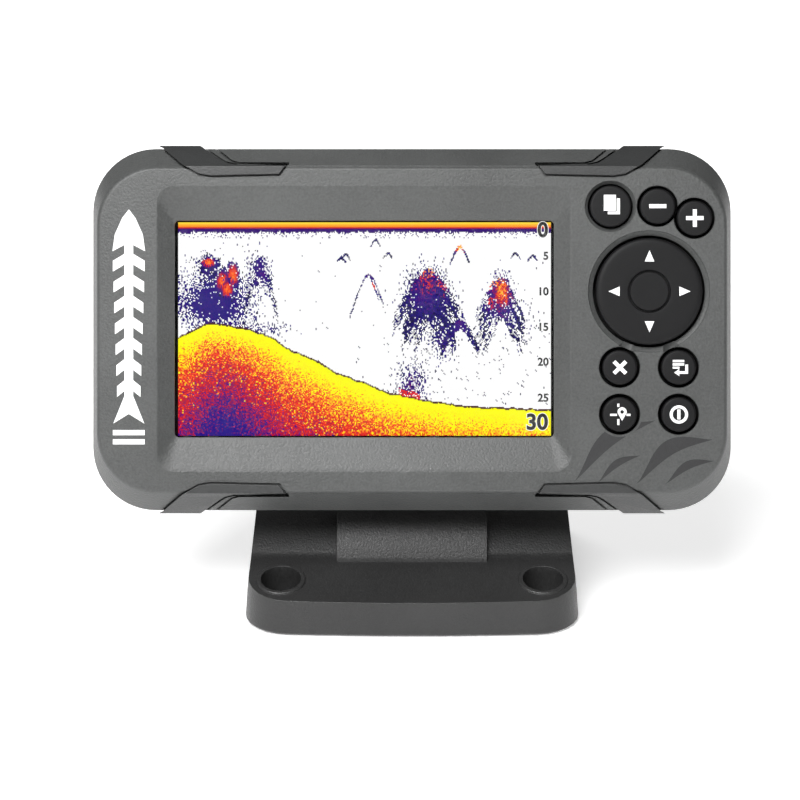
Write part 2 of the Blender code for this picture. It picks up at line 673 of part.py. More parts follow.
def base_plan(inset):
    """The bracket's outline from above, with a gently bowed front edge."""
    centre_y = (BASE_FRONT + BASE_REAR) / 2
    half_depth = (BASE_REAR - BASE_FRONT) / 2 - inset
    half_width = BASE_HALF_WIDTH - inset
    points = []
    for x, y in outline(half_width, half_depth, BASE_CORNER - inset, (0.0, centre_y)):
        points.append((x, y))
        if y < centre_y and abs(x + half_width - BASE_CORNER + inset) < 0.01 and y < BASE_FRONT + inset + 0.01:
            span = half_width - BASE_CORNER
            points += [(span * t, y) for t in (-0.75, -0.5, -0.25, 0.0, 0.25, 0.5, 0.75)]
    bowed = []
    for x, y in points:
        forward = max(0.0, (centre_y - y) / half_depth)
        bowed.append((x, y + BASE_BULGE * forward * (x / half_width) ** 2))
    return bowed


def mount_base():
    hinge_y, hinge_z = hinge_in_world()
    bm = bmesh.new()
    insets = [(0.0, 0.7), (0.7, 0.0), (8.0, 0.6), (24.0, 2.4), (40.0, 5.5)]
    add_loft(bm, [[(x, y, z) for x, y in base_plan(inset)] for z, inset in insets])
    base = finish("mount_base", bm, None, bracket_plastic())

    slope = (FOOT_Z - LIP_Z) / (FOOT_Y - LIP_Y)
    profile = bmesh.new()
    side = [(-45.0, -5.0), (45.0, -5.0), (45.0, 5.0), (34.0, 20.0), (30.0, 29.0)]
    side += arc((22.0, 26.0), 8.0, 35, 90, 4) + arc((6.0, 28.0), 6.0, 90, 135, 3)
    side += [(FOOT_Y + 1.0, FOOT_Z + 1.2), (FOOT_Y - 1.0, FOOT_Z - slope), (-45.0, LIP_Z - slope * 9.0)]
    add_prism_along_x(profile, side, -50.0, 50.0)
    combine(base, helper("base_side_view", profile, None), "INTERSECT")

    pedestal = bmesh.new()
    front = [(FOOT_Y - 2.6, 8.0), (FOOT_Y - 1.6, FOOT_Z + 0.8), (FOOT_Y + 3.0, 22.0), (-7.0, 28.0), (5.0, 34.5)]
    ears = arc((hinge_y, hinge_z), EAR_RADIUS, 215, -20, 14)
    back = [(hinge_y + EAR_RADIUS + 1.0, 38.0), (31.0, 22.0), (33.0, 4.0)]
    add_prism_along_x(pedestal, front + ears + back, -EAR_OUTER, EAR_OUTER)
    combine(base, helper("pedestal", pedestal, None), "UNION")

    rims = bmesh.new()
    tip = math.atan(slope)
    turns = [2 * math.pi * step / ROUND_STEPS for step in range(ROUND_STEPS)]
    for x in (-BASE_SCREW_X, BASE_SCREW_X):
        rim_z = LIP_Z + slope * (BASE_SCREW_Y - LIP_Y)
        rows = []
        for lift, radius in ((-2.0, 6.4), (0.25, 6.4), (0.5, 6.1)):
            rows.append([(x + radius * math.cos(t),
                          BASE_SCREW_Y + radius * math.sin(t) * math.cos(tip) - lift * math.sin(tip),
                          rim_z + radius * math.sin(t) * math.sin(tip) + lift * math.cos(tip))
                         for t in turns])
        add_loft(rims, rows)
    combine(base, helper("screw_rims", rims, None), "UNION")

    cuts = bmesh.new()
    for x in (-BASE_SCREW_X, BASE_SCREW_X):
        rows = [[(x + r * math.cos(t), BASE_SCREW_Y + r * math.sin(t), z) for t in turns]
                for z, r in ((-1.0, 2.3), (BASE_SCREW_FLOOR, 2.3), (BASE_SCREW_FLOOR, 5.2), (20.0, 5.2))]
        add_loft(cuts, rows)
    floor = hinge_z - KNUCKLE_RADIUS - 2.0
    add_box(cuts, (-EAR_INNER, hinge_y - 22.0, floor), (EAR_INNER, hinge_y + 16.0, hinge_z + 14.0))
    combine(base, helper("base_cuts", cuts, None), "DIFFERENCE")

    bore = bmesh.new()
    add_turned_along_x(bore, [(-24.0, BOLT_RADIUS + GAP), (24.0, BOLT_RADIUS + GAP)], (hinge_y, hinge_z), 20)
    combine(base, helper("base_bore", bore, None), "DIFFERENCE")


def main():
    clear_scene()
    unit = frame_at("display_unit", FACE_CENTRE, -LEAN)
    front_bezel(unit)
    rear_housing(unit)
    housing_seal(unit)
    screen_stack(unit)
    main_board(unit)
    lcd_ribbon(unit)
    key_stack(unit)
    keys(unit)
    dpad(unit)
    corner_trims(unit)
    housing_screws(unit)
    rear_socket(unit)
    vent_plug(unit)
    tilt_head(unit)
    quick_release(unit)
    tilt_fasteners(unit)
    mount_base()


main()
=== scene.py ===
# Fish finder on a tilting quick-release bracket: finished meshes, finishes, camera and light.
import json
import math

import bmesh
import bpy
import numpy as np
from mathutils import Matrix, Vector


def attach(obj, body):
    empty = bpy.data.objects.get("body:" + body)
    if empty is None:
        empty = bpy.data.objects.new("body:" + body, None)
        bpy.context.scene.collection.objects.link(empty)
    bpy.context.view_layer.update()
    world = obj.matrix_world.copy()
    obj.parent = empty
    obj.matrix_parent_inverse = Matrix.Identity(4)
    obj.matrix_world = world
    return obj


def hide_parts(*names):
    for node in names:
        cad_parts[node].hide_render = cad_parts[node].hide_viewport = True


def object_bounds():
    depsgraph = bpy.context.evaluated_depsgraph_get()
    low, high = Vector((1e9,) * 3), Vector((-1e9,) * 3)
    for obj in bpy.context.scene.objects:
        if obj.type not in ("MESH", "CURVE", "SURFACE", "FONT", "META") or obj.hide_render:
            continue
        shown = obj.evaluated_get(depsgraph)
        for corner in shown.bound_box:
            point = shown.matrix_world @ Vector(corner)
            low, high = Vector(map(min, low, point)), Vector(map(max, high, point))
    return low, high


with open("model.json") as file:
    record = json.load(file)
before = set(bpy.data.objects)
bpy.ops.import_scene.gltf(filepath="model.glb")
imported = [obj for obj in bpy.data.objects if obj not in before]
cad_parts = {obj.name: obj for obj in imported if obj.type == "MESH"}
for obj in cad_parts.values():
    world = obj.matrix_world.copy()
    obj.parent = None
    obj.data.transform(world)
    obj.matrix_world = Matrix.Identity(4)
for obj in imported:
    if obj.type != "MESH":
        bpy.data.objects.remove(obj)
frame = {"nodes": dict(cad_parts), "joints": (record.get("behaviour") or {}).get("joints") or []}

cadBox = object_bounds()
mm = 0.001
basePlace = Matrix.Scale(mm, 4)  # bracket millimetres to metres
joints = {joint["name"]: joint for joint in frame["joints"]}
upTheFace = Vector(joints["unit_slide"]["axis"])
lean = math.atan2(upTheFace.y, upTheFace.z)
tilt = Matrix.Rotation(-lean, 4, "X")


def boxOf(node, place):
    # a CAD part's lowest and highest corner, in millimetres of that frame
    back = place.inverted()
    points = np.array([(back @ v.co)[:] for v in frame["nodes"][node].data.vertices])
    return Vector(points.min(0)), Vector(points.max(0))


faceLow, faceHigh = boxOf("front_bezel", tilt)  # in metres, on the leaning axes
faceOrigin = Vector(((faceLow.x + faceHigh.x) / 2, faceLow.y, (faceLow.z + faceHigh.z) / 2))
unitPlace = tilt @ Matrix.Translation(faceOrigin) @ Matrix.Scale(mm, 4)  # display millimetres to metres


def middle(node):
    low, high = boxOf(node, unitPlace)
    return (low + high) / 2


def half(node):
    low, high = boxOf(node, unitPlace)
    return (high - low) / 2


# shaping helpers, all in millimetres: x to the right, y into the unit, z up the face

def ring(depth, halfWide, halfTall, radius, centre=(0.0, 0.0), steps=14):
    points = []
    for sideX, sideZ, start in ((1, 1, 0), (-1, 1, 90), (-1, -1, 180), (1, -1, 270)):
        for step in range(steps + 1):
            turn = math.radians(start + 90 * step / steps)
            points.append((centre[0] + sideX * (halfWide - radius) + radius * math.cos(turn), depth,
                           centre[1] + sideZ * (halfTall - radius) + radius * math.sin(turn)))
    return points


def circle(depth, radius, centre, steps):
    turns = [2 * math.pi * step / steps for step in range(steps)]
    return [(centre[0] + radius * math.cos(t), depth, centre[1] + radius * math.sin(t)) for t in turns]


def loft(bm, rings, caps=True):
    rows = [[bm.verts.new(point) for point in points] for points in rings]
    count = len(rows[0])
    for low, high in zip(rows, rows[1:]):
        for i in range(count):
            j = (i + 1) % count
            bm.faces.new((low[i], low[j], high[j], high[i]))
    if caps:
        bm.faces.new(rows[0])
        bm.faces.new(rows[-1])
    return rows


def turned(bm, profile, centre, steps=48):
    loft(bm, [circle(depth, max(radius, 0.02), centre, steps) for depth, radius in profile])


def plate(bm, outline, front, back):
    # an (x, z) outline with a thickness along y
    loft(bm, [[(x, y, z) for x, z in outline] for y in (front, back)])


def made(name, bm):
    bmesh.ops.recalc_face_normals(bm, faces=bm.faces)
    mesh = bpy.data.meshes.new(name)
    bm.to_mesh(mesh)
    bm.free()
    obj = bpy.data.objects.new(name, mesh)
    bpy.context.scene.collection.objects.link(obj)
    return obj


def settled(obj):
    # modifiers become plain mesh
    graph = bpy.context.evaluated_depsgraph_get()
    mesh = bpy.data.meshes.new_from_object(obj.evaluated_get(graph), preserve_all_data_layers=True,
                                           depsgraph=graph)
    obj.modifiers.clear()
    old = obj.data
    obj.data = mesh
    bpy.data.meshes.remove(old)
    return obj


def joined(obj, other, operation, keep=False):
    modifier = obj.modifiers.new("join", "BOOLEAN")
    modifier.operation = operation
    modifier.object = other
    modifier.solver = "EXACT"
    settled(obj)
    if not keep:
        bpy.data.objects.remove(other)
    return obj


def softened(obj, width, segments=2, angle=35):
    # small round edges, then normals that keep flat faces flat
    if width:
        bevel = obj.modifiers.new("edge", "BEVEL")
        bevel.width = width
        bevel.segments = segments
        bevel.limit_method = "ANGLE"
        bevel.angle_limit = math.radians(angle)
        bevel.use_clamp_overlap = True
        bevel.miter_outer = "MITER_ARC"
        settled(obj)
    obj.data.shade_smooth()
    obj.data.set_sharp_from_angle(angle=math.radians(38))
    weighted = obj.modifiers.new("normals", "WEIGHTED_NORMAL")
    weighted.keep_sharp = True
    return settled(obj)


def placed(obj, place, material, body, nodes=()):
    # into the row frame, painted, and fixed to its body
    obj.data.transform(place)
    if material is not None:
        obj.data.materials.clear()
        obj.data.materials.append(material)
    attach(obj, body)
    if nodes:
        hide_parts(*nodes)
    return obj


# finishes

def newMaterial(name):
    material = bpy.data.materials.new(name)
    material.use_nodes = True
    nodes, links = material.node_tree.nodes, material.node_tree.links
    return material, nodes, links, nodes["Principled BSDF"]


def noise(nodes, links, coordinate, scale, detail=2.0):
    texture = nodes.new("ShaderNodeTexNoise")
    texture.inputs["Scale"].default_value = scale
    texture.inputs["Detail"].default_value = detail
    links.new(coordinate, texture.inputs["Vector"])
    return texture.outputs["Fac"]


def between(nodes, links, factor, low, high):
    remap = nodes.new("ShaderNodeMapRange")
    remap.inputs["From Min"].default_value = 0.35
    remap.inputs["From Max"].default_value = 0.65
    remap.inputs["To Min"].default_value = low
    remap.inputs["To Max"].default_value = high
    links.new(factor, remap.inputs["Value"])
    return remap.outputs["Result"]


def shaded(nodes, links, colour, factor, spread):
    # the colour, a little lighter and darker from place to place
    mix = nodes.new("ShaderNodeMix")
    mix.data_type = "RGBA"
    dark, light = (socket for socket in mix.inputs if socket.type == "RGBA")
    dark.default_value = (*[c * (1 - spread) for c in colour], 1)
    light.default_value = (*[min(1, c * (1 + spread)) for c in colour], 1)
    links.new(factor, mix.inputs[0])
    return next(socket for socket in mix.outputs if socket.type == "RGBA")


def moulded(name, colour, roughness, grain=0.05, grainSize=0.00035, spread=0.06, specular=0.5, cloud=40.0):
    # moulded plastic or rubber with a spark-eroded grain
    material, nodes, links, shader = newMaterial(name)
    coordinate = nodes.new("ShaderNodeTexCoord").outputs["Object"]
    fine = noise(nodes, links, coordinate, 1.0 / grainSize, 3.0)
    wide = noise(nodes, links, coordinate, cloud, 2.0)
    speck = nodes.new("ShaderNodeMix")  # fine grain with a soft cloud over it
    speck.inputs[0].default_value = 0.4
    links.new(fine, speck.inputs[2])
    links.new(wide, speck.inputs[3])
    links.new(shaded(nodes, links, colour, between(nodes, links, speck.outputs[0], 0.0, 1.0), spread),
              shader.inputs["Base Color"])
    links.new(between(nodes, links, fine, roughness - 0.07, roughness + 0.07), shader.inputs["Roughness"])
    shader.inputs["Specular IOR Level"].default_value = specular
    bump = nodes.new("ShaderNodeBump")
    bump.inputs["Strength"].default_value = 1.0
    bump.inputs["Distance"].default_value = grain * mm
    links.new(fine, bump.inputs["Height"])
    links.new(bump.outputs["Normal"], shader.inputs["Normal"])
    return material


def metal(name, colour, roughness, stretch=(1, 1, 1)):
    # turned or rolled metal with fine tool marks
    material, nodes, links, shader = newMaterial(name)
    mapping = nodes.new("ShaderNodeMapping")
    mapping.inputs["Scale"].default_value = stretch
    links.new(nodes.new("ShaderNodeTexCoord").outputs["Object"], mapping.inputs["Vector"])
    marks = noise(nodes, links, mapping.outputs["Vector"], 900.0, 4.0)
    links.new(shaded(nodes, links, colour, marks, 0.04), shader.inputs["Base Color"])
    links.new(between(nodes, links, marks, roughness - 0.03, roughness + 0.04), shader.inputs["Roughness"])
    shader.inputs["Metallic"].default_value = 1.0
    bump = nodes.new("ShaderNodeBump")
    bump.inputs["Distance"].default_value = 0.002 * mm
    links.new(marks, bump.inputs["Height"])
    links.new(bump.outputs["Normal"], shader.inputs["Normal"])
    return material


def laminate(name, colour, trace):
    # solder mask over copper tracks
    material, nodes, links, shader = newMaterial(name)
    coordinate = nodes.new("ShaderNodeTexCoord").outputs["Object"]
    bricks = nodes.new("ShaderNodeTexBrick")
    bricks.inputs["Scale"].default_value = 260.0
    bricks.inputs["Color1"].default_value = (*colour, 1)
    bricks.inputs["Color2"].default_value = (*[c * 1.2 for c in colour], 1)
    bricks.inputs["Mortar"].default_value = (*trace, 1)
    bricks.inputs["Mortar Size"].default_value = 0.012
    links.new(coordinate, bricks.inputs["Vector"])
    links.new(bricks.outputs["Color"], shader.inputs["Base Color"])
    links.new(between(nodes, links, noise(nodes, links, coordinate, 700.0), 0.3, 0.42),
              shader.inputs["Roughness"])
    return material


def clearWindow():
    material, nodes, links, shader = newMaterial("clearWindow")
    coordinate = nodes.new("ShaderNodeTexCoord").outputs["Object"]
    links.new(between(nodes, links, noise(nodes, links, coordinate, 60.0), 0.0, 0.02),
              shader.inputs["Roughness"])
    shader.inputs["Base Color"].default_value = (1, 1, 1, 1)
    shader.inputs["Transmission Weight"].default_value = 1.0
    shader.inputs["IOR"].default_value = 1.2
    return material


def litPicture():
    # the sonar picture, held in the mesh's own colours
    material, nodes, links, shader = newMaterial("litPicture")
    picture = nodes.new("ShaderNodeAttribute")
    picture.attribute_name = "sonar"
    links.new(picture.outputs["Color"], shader.inputs["Emission Color"])
    shader.inputs["Emission Strength"].default_value = 1.0
    shader.inputs["Base Color"].default_value = (0.01, 0.01, 0.01, 1)
    shader.inputs["Specular IOR Level"].default_value = 0.1
    return material


def litInk(name, colour, strength):
    material, nodes, links, shader = newMaterial(name)
    coordinate = nodes.new("ShaderNodeTexCoord").outputs["Object"]
    shader.inputs["Emission Color"].default_value = (*colour, 1)
    shader.inputs["Emission Strength"].default_value = strength
    links.new(shaded(nodes, links, (0.01, 0.01, 0.01), noise(nodes, links, coordinate, 200.0), 0.1),
              shader.inputs["Base Color"])
    return material


finish = {
    "face": moulded("facePlastic", (0.062, 0.064, 0.063), 0.46, grain=0.11, grainSize=0.00055, spread=0.22),
    # the corner pieces: the face's grey plastic painted about half as light, as painted shade
    "claw": moulded("clawPlasticShaded", (0.03, 0.031, 0.031), 0.44, grain=0.07, grainSize=0.0005, spread=0.15),
    "shell": moulded("shellPlastic", (0.036, 0.037, 0.036), 0.5, grain=0.08, grainSize=0.0005, spread=0.15),
    "trim": moulded("trimPlastic", (0.026, 0.027, 0.026), 0.45, grain=0.04),
    "key": moulded("keyRubber", (0.007, 0.007, 0.0075), 0.55, grain=0.012, grainSize=0.0002, specular=0.2),
    # the faces deep inside each key well, painted near black
    "mat": moulded("matRubber", (0.0025, 0.0025, 0.0025), 0.7, grain=0.01, specular=0.12),
    "print": moulded("whitePrint", (0.86, 0.86, 0.86), 0.5, grain=0.003, spread=0.02),
    "darkPrint": moulded("darkPrint", (0.02, 0.02, 0.021), 0.5, grain=0.06, grainSize=0.0005, spread=0.2),
    "seal": moulded("sealRubber", (0.018, 0.018, 0.018), 0.7, grain=0.02),
    "bracket": moulded("bracketPlastic", (0.026, 0.026, 0.026), 0.42, grain=0.09, grainSize=0.0005,
                       spread=0.2),
    "head": moulded("headPlastic", (0.014, 0.014, 0.014), 0.5, grain=0.05, specular=0.3),
    "socket": moulded("socketPlastic", (0.025, 0.025, 0.026), 0.4, grain=0.01),
    "ceramic": moulded("antennaCeramic", (0.55, 0.5, 0.4), 0.5, grain=0.02, spread=0.1),
    "film": moulded("ribbonFilm", (0.5, 0.26, 0.06), 0.35, grain=0.004),
    "diffuser": moulded("lightGuide", (0.75, 0.76, 0.78), 0.3, grain=0.01),
    "steel": metal("screwSteel", (0.6, 0.6, 0.61), 0.28),
    "sheet": metal("tinnedSheet", (0.62, 0.62, 0.6), 0.34, (1, 1, 12)),
    "brass": metal("contactBrass", (0.78, 0.57, 0.25), 0.25),
    "board": laminate("boardLaminate", (0.015, 0.09, 0.04), (0.08, 0.22, 0.1)),
    "window": clearWindow(),
    "picture": litPicture(),
    "litWhite": litInk("litWhite", (1, 1, 1), 1.0),
    "litBlack": litInk("litBlack", (0, 0, 0), 0.0),
}
print("finishes ready")


# front shell

shell = {
    "lip": 0.3,  # radius round the mouth of each opening
    "grooveWide": 0.45,
    "grooveDeep": 0.7,
    "plate": 3.6,  # depth of the flat front
    "seam": 9.0,
    "wall": 2.2,
}
widest = (half("front_bezel").x, half("front_bezel").z, 16.0)
flat = (widest[0] - 2.9, widest[1] - 5.8, 14.4)
edge = (widest[0] - 1.8, widest[1] - 4.7, 15.0)
seamLine = (widest[0] - 0.35, widest[1] - 0.35, 15.7)

claw = {  # the corner piece at the upper right, as (across, up)
    "outline": [(71.6, 50.0), (55.9, 50.0), (54.9, 47.6), (48.6, 43.0), (46.9, 42.0), (44.6, 41.5),
                (31.8, 41.3), (33.4, 39.1), (50.6, 38.7), (53.6, 39.2), (57.8, 41.5), (63.6, 46.4)],
    "proud": 0.85,
    "seat": -0.45,  # how far it sits below the shell's own skin
    "back": 12.0,
    "edge": 0.25,
}

screen = {
    "centre": (middle("window_pane").x, middle("window_pane").z),
    "opening": (47.9, 27.4),
    "recess": (52.0, 35.7, 4.2),
    "depth": 2.6,
}

wells = {  # node: radius of the well, and whether a dished ring leads down to it
    "pages_key": (5.55, 6.3),
    "zoom_out_key": (5.1, None),
    "zoom_in_key": (5.1, None),
    "exit_key": (5.1, None),
    "menu_key": (5.1, None),
    "waypoint_key": (5.1, None),
    "power_key": (5.1, None),
    "dpad_rocker": (14.0, 15.2),
}
keyPlace = {node: middle(node) for node in wells}


def outside(grow):
    # both shells' skin together, grown outwards or inwards
    first = (-grow, flat[0] + max(grow, 0), flat[1] + max(grow, 0))
    stations = [first, (1.0, edge[0] + grow, edge[1] + grow),
                (shell["seam"], widest[0] + grow, widest[1] + grow),
                (14.0, widest[0] - 0.1 + grow, widest[1] - 0.3 + grow),
                (16.0, widest[0] - 1.0 + grow, widest[1] - 1.6 + grow)]
    bm = bmesh.new()
    loft(bm, [ring(depth, wide, tall, 16.0) for depth, wide, tall in stations])
    return made("outside", bm)


def mirrored(outline, sideX, sideZ):
    return [(sideX * x, sideZ * z) for x, z in outline]


def grown(outline, by):
    # an outline pushed outwards by a distance, at its corners
    points = [Vector((x, z)) for x, z in outline]
    area = sum(a.x * b.y - b.x * a.y for a, b in zip(points, points[1:] + points[:1]))
    side = 1 if area > 0 else -1
    out = []
    for before, here, after in zip(points[-1:] + points[:-1], points, points[1:] + points[:1]):
        first, second = (here - before).normalized(), (after - here).normalized()
        normal = (Vector((first.y, -first.x)) + Vector((second.y, -second.x))) * side
        normal.normalize()
        spread = max(0.5, normal.dot(Vector((first.y, -first.x)) * side))
        out.append(tuple(here + normal * by / spread))
    return out


def stroke(points, width):
    # a line of a width, as a closed outline
    path = [Vector(p) for p in points]
    left, right = [], []
    for i, here in enumerate(path):
        along = (path[min(i + 1, len(path) - 1)] - path[max(i - 1, 0)]).normalized()
        across = Vector((-along.y, along.x)) * width / 2
        left.append(tuple(here + across))
        right.append(tuple(here - across))
    return left + right[::-1]


corners = {"top_right": (1, 1), "top_left": (-1, 1), "bottom_right": (1, -1), "bottom_left": (-1, -1)}


def wellProfile(radius, dish, hole):
    lip = shell["lip"]
    top = dish or radius
    arc = [(lip * (1 - math.cos(t)), top + lip * (1 - math.sin(t)))
           for t in (math.radians(a) for a in (28, 50, 70, 90))]
    profile = [(-0.6, top + lip * 1.5)] + arc
    if dish:
        profile += [(0.9, radius + 0.12), (1.05, radius)]
    return profile + [(2.4, radius - 0.05), (2.4, hole), (5.0, hole)]


def frontShell():
    line = (0.0, edge[0] - 0.225, edge[1] - 0.59)  # where the band would meet the flat front
    band = (1.3, edge[0] + 0.07, edge[1] + 0.18)
    start = (0.0, flat[0], flat[1])
    rings = [ring(shell["plate"], edge[0] - 3.2, edge[1] - 3.1, 11.5),
             ring(shell["seam"], widest[0] - shell["wall"], widest[1] - shell["wall"], 14.0),
             ring(shell["seam"], *seamLine),
             ring(shell["seam"] - 0.1, seamLine[0] + 0.22, seamLine[1] + 0.2, 15.9),
             ring(shell["seam"] - 0.35, widest[0], widest[1], 16.0)]
    for step in range(6, -1, -1):
        t = step / 6
        depth, wide, tall = [(1 - t) ** 2 * a + 2 * t * (1 - t) * b + t * t * c
                             for a, b, c in zip(start, line, band)]
        rings.append(ring(depth, wide, tall, 14.4 + 0.7 * t))
    bm = bmesh.new()
    loft(bm, rings)
    front = made("front_shell", bm)

    # the recess round the screen, with sloping sides
    centre, (wide, tall), (outWide, outTall, corner) = screen["centre"], screen["opening"], screen["recess"]
    bm = bmesh.new()
    slopes = []
    for depth, share in ((-0.6, 1.16), (0.02, 1.03), (0.1, 0.965), (0.25, 0.905), (screen["depth"], 0.0)):
        slopes.append(ring(depth, wide + (outWide - wide) * share, tall + (outTall - tall) * share,
                           1.2 + (corner - 1.2) * min(1, share), centre))
    loft(bm, slopes + [ring(shell["plate"] + 1.0, wide, tall, 1.2, centre)])
    joined(front, made("recess", bm), "DIFFERENCE")

    for node, (radius, dish) in wells.items():
        bm = bmesh.new()
        spot, cap = middle(node), half(node).x
        turned(bm, wellProfile(radius, dish, cap + 0.35), (spot.x, spot.z), 96 if dish and dish > 10 else 56)
        joined(front, made("well", bm), "DIFFERENCE")

    # two short channels from the pad's dish down to the keys under it
    pad = Vector((middle("dpad_rocker").x, middle("dpad_rocker").z))
    for node in ("exit_key", "menu_key"):
        key = Vector((middle(node).x, middle(node).z))
        along = (key - pad).normalized()
        across = Vector((-along.y, along.x))
        bm = bmesh.new()
        rows = []
        for reach in (13.9, (key - pad).length - 5.0):
            spot = pad + along * reach
            rows.append([(spot.x + across.x * 2.35 * math.cos(t), -0.9 + 2.35 * math.sin(t),
                          spot.y + across.y * 2.35 * math.cos(t)) for t in
                         (2 * math.pi * step / 32 for step in range(32))])
        loft(bm, rows)
        joined(front, made("channel", bm), "DIFFERENCE")

    # trenches round the corner pieces, and the lines that part the middle strips from the front
    skin = outside(-shell["grooveDeep"])
    for sideX, sideZ in corners.values():
        bm = bmesh.new()
        outline = grown(mirrored(claw["outline"], sideX, sideZ), shell["grooveWide"])
        plate(bm, outline, -2.0, claw["back"] + 0.4)
        trench = joined(made("trench", bm), skin, "DIFFERENCE", keep=True)
        joined(front, trench, "DIFFERENCE")
    for sideZ in (1, -1):
        for sideX in (1, -1):
            bm = bmesh.new()
            line = [(52.6, 49.0), (51.6, 47.4), (45.6, 42.6), (43.6, 42.0), (31.0, 41.95)]
            plate(bm, stroke(mirrored(line, sideX, sideZ), 0.5), -2.0, claw["back"])
            groove = joined(made("groove", bm), skin, "DIFFERENCE", keep=True)
            joined(front, groove, "DIFFERENCE")
        bm = bmesh.new()
        plate(bm, stroke(mirrored([(-31.4, 41.2), (31.4, 41.2)], 1, sideZ), 0.35), -2.0, 1.0)
        joined(front, made("groove", bm), "DIFFERENCE")
    bpy.data.objects.remove(skin)
    softened(front, 0)
    front.data.materials.append(finish["face"])
    front.data.materials.append(finish["mat"])
    # faces more than half a millimetre into a well take the near-black second finish
    for polygon in front.data.polygons:
        for node, (radius, dish) in wells.items():
            reach = math.hypot(polygon.center.x - keyPlace[node].x, polygon.center.z - keyPlace[node].z)
            if polygon.center.y > 0.5 and reach < radius + 0.1:
                polygon.material_index = 1
    placed(front, unitPlace, None, "display_unit", ["front_bezel"])


def cornerPieces():
    outer, inner = outside(claw["proud"]), outside(claw["seat"])
    for corner, (sideX, sideZ) in corners.items():
        bm = bmesh.new()
        plate(bm, mirrored(claw["outline"], sideX, sideZ), -3.0, claw["back"])
        piece = made("corner_piece_" + corner, bm)
        joined(piece, outer, "INTERSECT", keep=True)
        joined(piece, inner, "DIFFERENCE", keep=True)
        softened(piece, claw["edge"])
        # each corner piece takes the face plastic's darker copy, its shade painted into the colour
        placed(piece, unitPlace, finish["claw"], "display_unit", ["corner_trim_" + corner])
    bpy.data.objects.remove(outer)
    bpy.data.objects.remove(inner)


frontShell()
cornerPieces()
print("front shell and corner pieces ready")


# keys with their printed symbols

keyShape = {
    "shoulder": 0.55,
    "ink": 0.03,  # thickness of the printed symbols
}


def bar(wide, tall, x=0.0, z=0.0, turn=0.0):
    c, s = math.cos(math.radians(turn)), math.sin(math.radians(turn))
    flatBar = [(-wide / 2, -tall / 2), (wide / 2, -tall / 2), (wide / 2, tall / 2), (-wide / 2, tall / 2)]
    return [(x + a * c - b * s, z + a * s + b * c) for a, b in flatBar]


def arcPoints(x, z, radius, start, end, steps=20):
    turns = [math.radians(start + (end - start) * step / steps) for step in range(steps + 1)]
    return [(x + radius * math.cos(t), z + radius * math.sin(t)) for t in turns]


def ringBand(x, z, outer, inner, start=0.0, end=359.99, steps=40):
    return arcPoints(x, z, outer, start, end, steps) + arcPoints(x, z, inner, end, start, steps)


symbols = {
    "pages_key": [[(-1.75, -1.15), (1.3, -1.15), (1.3, 2.85), (-1.75, 2.85)],
                  [(-0.75, -2.05), (2.3, -2.05), (2.3, 1.95), (1.5, 1.95), (1.5, -1.35), (-0.75, -1.35)]],
    "zoom_out_key": [bar(4.3, 1.0)],
    "zoom_in_key": [[(-0.5, -2.2), (0.5, -2.2), (0.5, -0.5), (2.2, -0.5), (2.2, 0.5), (0.5, 0.5), (0.5, 2.2),
                     (-0.5, 2.2), (-0.5, 0.5), (-2.2, 0.5), (-2.2, -0.5), (-0.5, -0.5)]],
    "exit_key": [[(x * c - z * c, x * c + z * c) for c in [math.sqrt(0.5)] for x, z in
                  ((-0.48, -2.1), (0.48, -2.1), (0.48, -0.48), (2.1, -0.48), (2.1, 0.48), (0.48, 0.48),
                   (0.48, 2.1), (-0.48, 2.1), (-0.48, 0.48), (-2.1, 0.48), (-2.1, -0.48), (-0.48, -0.48))]],
    "menu_key": [bar(2.9, 0.58, -0.1, 1.6), bar(2.9, 0.58, -0.1, 0.75), bar(1.7, 0.5, -0.7, -0.05),
                 [(2.3, 0.75), (1.6, 0.75), (1.6, -0.95), (0.1, -0.95), (0.1, -0.35), (-1.2, -1.3),
                  (0.1, -2.15), (0.1, -1.6), (2.3, -1.6)]],
    "waypoint_key": [bar(0.55, 0.8, -0.4, 2.3), bar(0.55, 1.5, -0.4, -1.9), bar(1.7, 0.55, -1.6, -0.1),
                     bar(1.0, 0.55, 2.15, -0.1), ringBand(0.55, 0.65, 1.15, 0.45),
                     [(-0.5, 0.2), (1.6, 0.2), (0.55, -1.6)]],
    "power_key": [ringBand(0.0, 0.0, 2.3, 1.55), bar(0.8, 2.5)],
    "dpad_rocker": [[(x * c - z * s, x * s + z * c) for x, z in ((-1.2, 7.5), (1.2, 7.5), (0.0, 10.3))]
                    for c, s in ((1, 0), (0, 1), (-1, 0), (0, -1))],
}


def printed(obj, outlines, spot, depth):
    # thin raised ink, in the second finish
    bm = bmesh.new()
    bm.from_mesh(obj.data)
    kept = len(bm.faces)
    for outline in outlines:
        plate(bm, [(spot.x + x, spot.z + z) for x, z in outline], depth - keyShape["ink"], depth + 0.15)
    fresh = list(bm.faces)[kept:]
    bmesh.ops.recalc_face_normals(bm, faces=fresh)
    for face in fresh:
        face.material_index = 1
        face.smooth = False
    bm.to_mesh(obj.data)
    bm.free()


def fitted(obj, node, spot, top):
    # smoothed, printed and put on its body
    softened(obj, 0)
    obj.data.materials.append(finish["key"])
    obj.data.materials.append(finish["print"])
    printed(obj, symbols[node], spot, top)
    placed(obj, unitPlace, None, node, [node])


def key(node):
    spot, cap = middle(node), half(node).x
    low, high = boxOf(node, unitPlace)
    shoulder, top = keyShape["shoulder"], low.y
    profile = [(high.y, cap - 0.3), (high.y - 0.3, cap), (top + shoulder, cap)]
    profile += [(top + shoulder * (1 - math.sin(t)) + 0.05, cap - shoulder * (1 - math.cos(t)))
                for t in (math.radians(a) for a in (25, 50, 72, 90))]
    profile += [(top, cap * 0.62), (top, 0.02)]
    bm = bmesh.new()
    turned(bm, profile, (spot.x, spot.z), 56)
    obj = made(node.replace("_key", "_button"), bm)
    fitted(obj, node, spot, top)


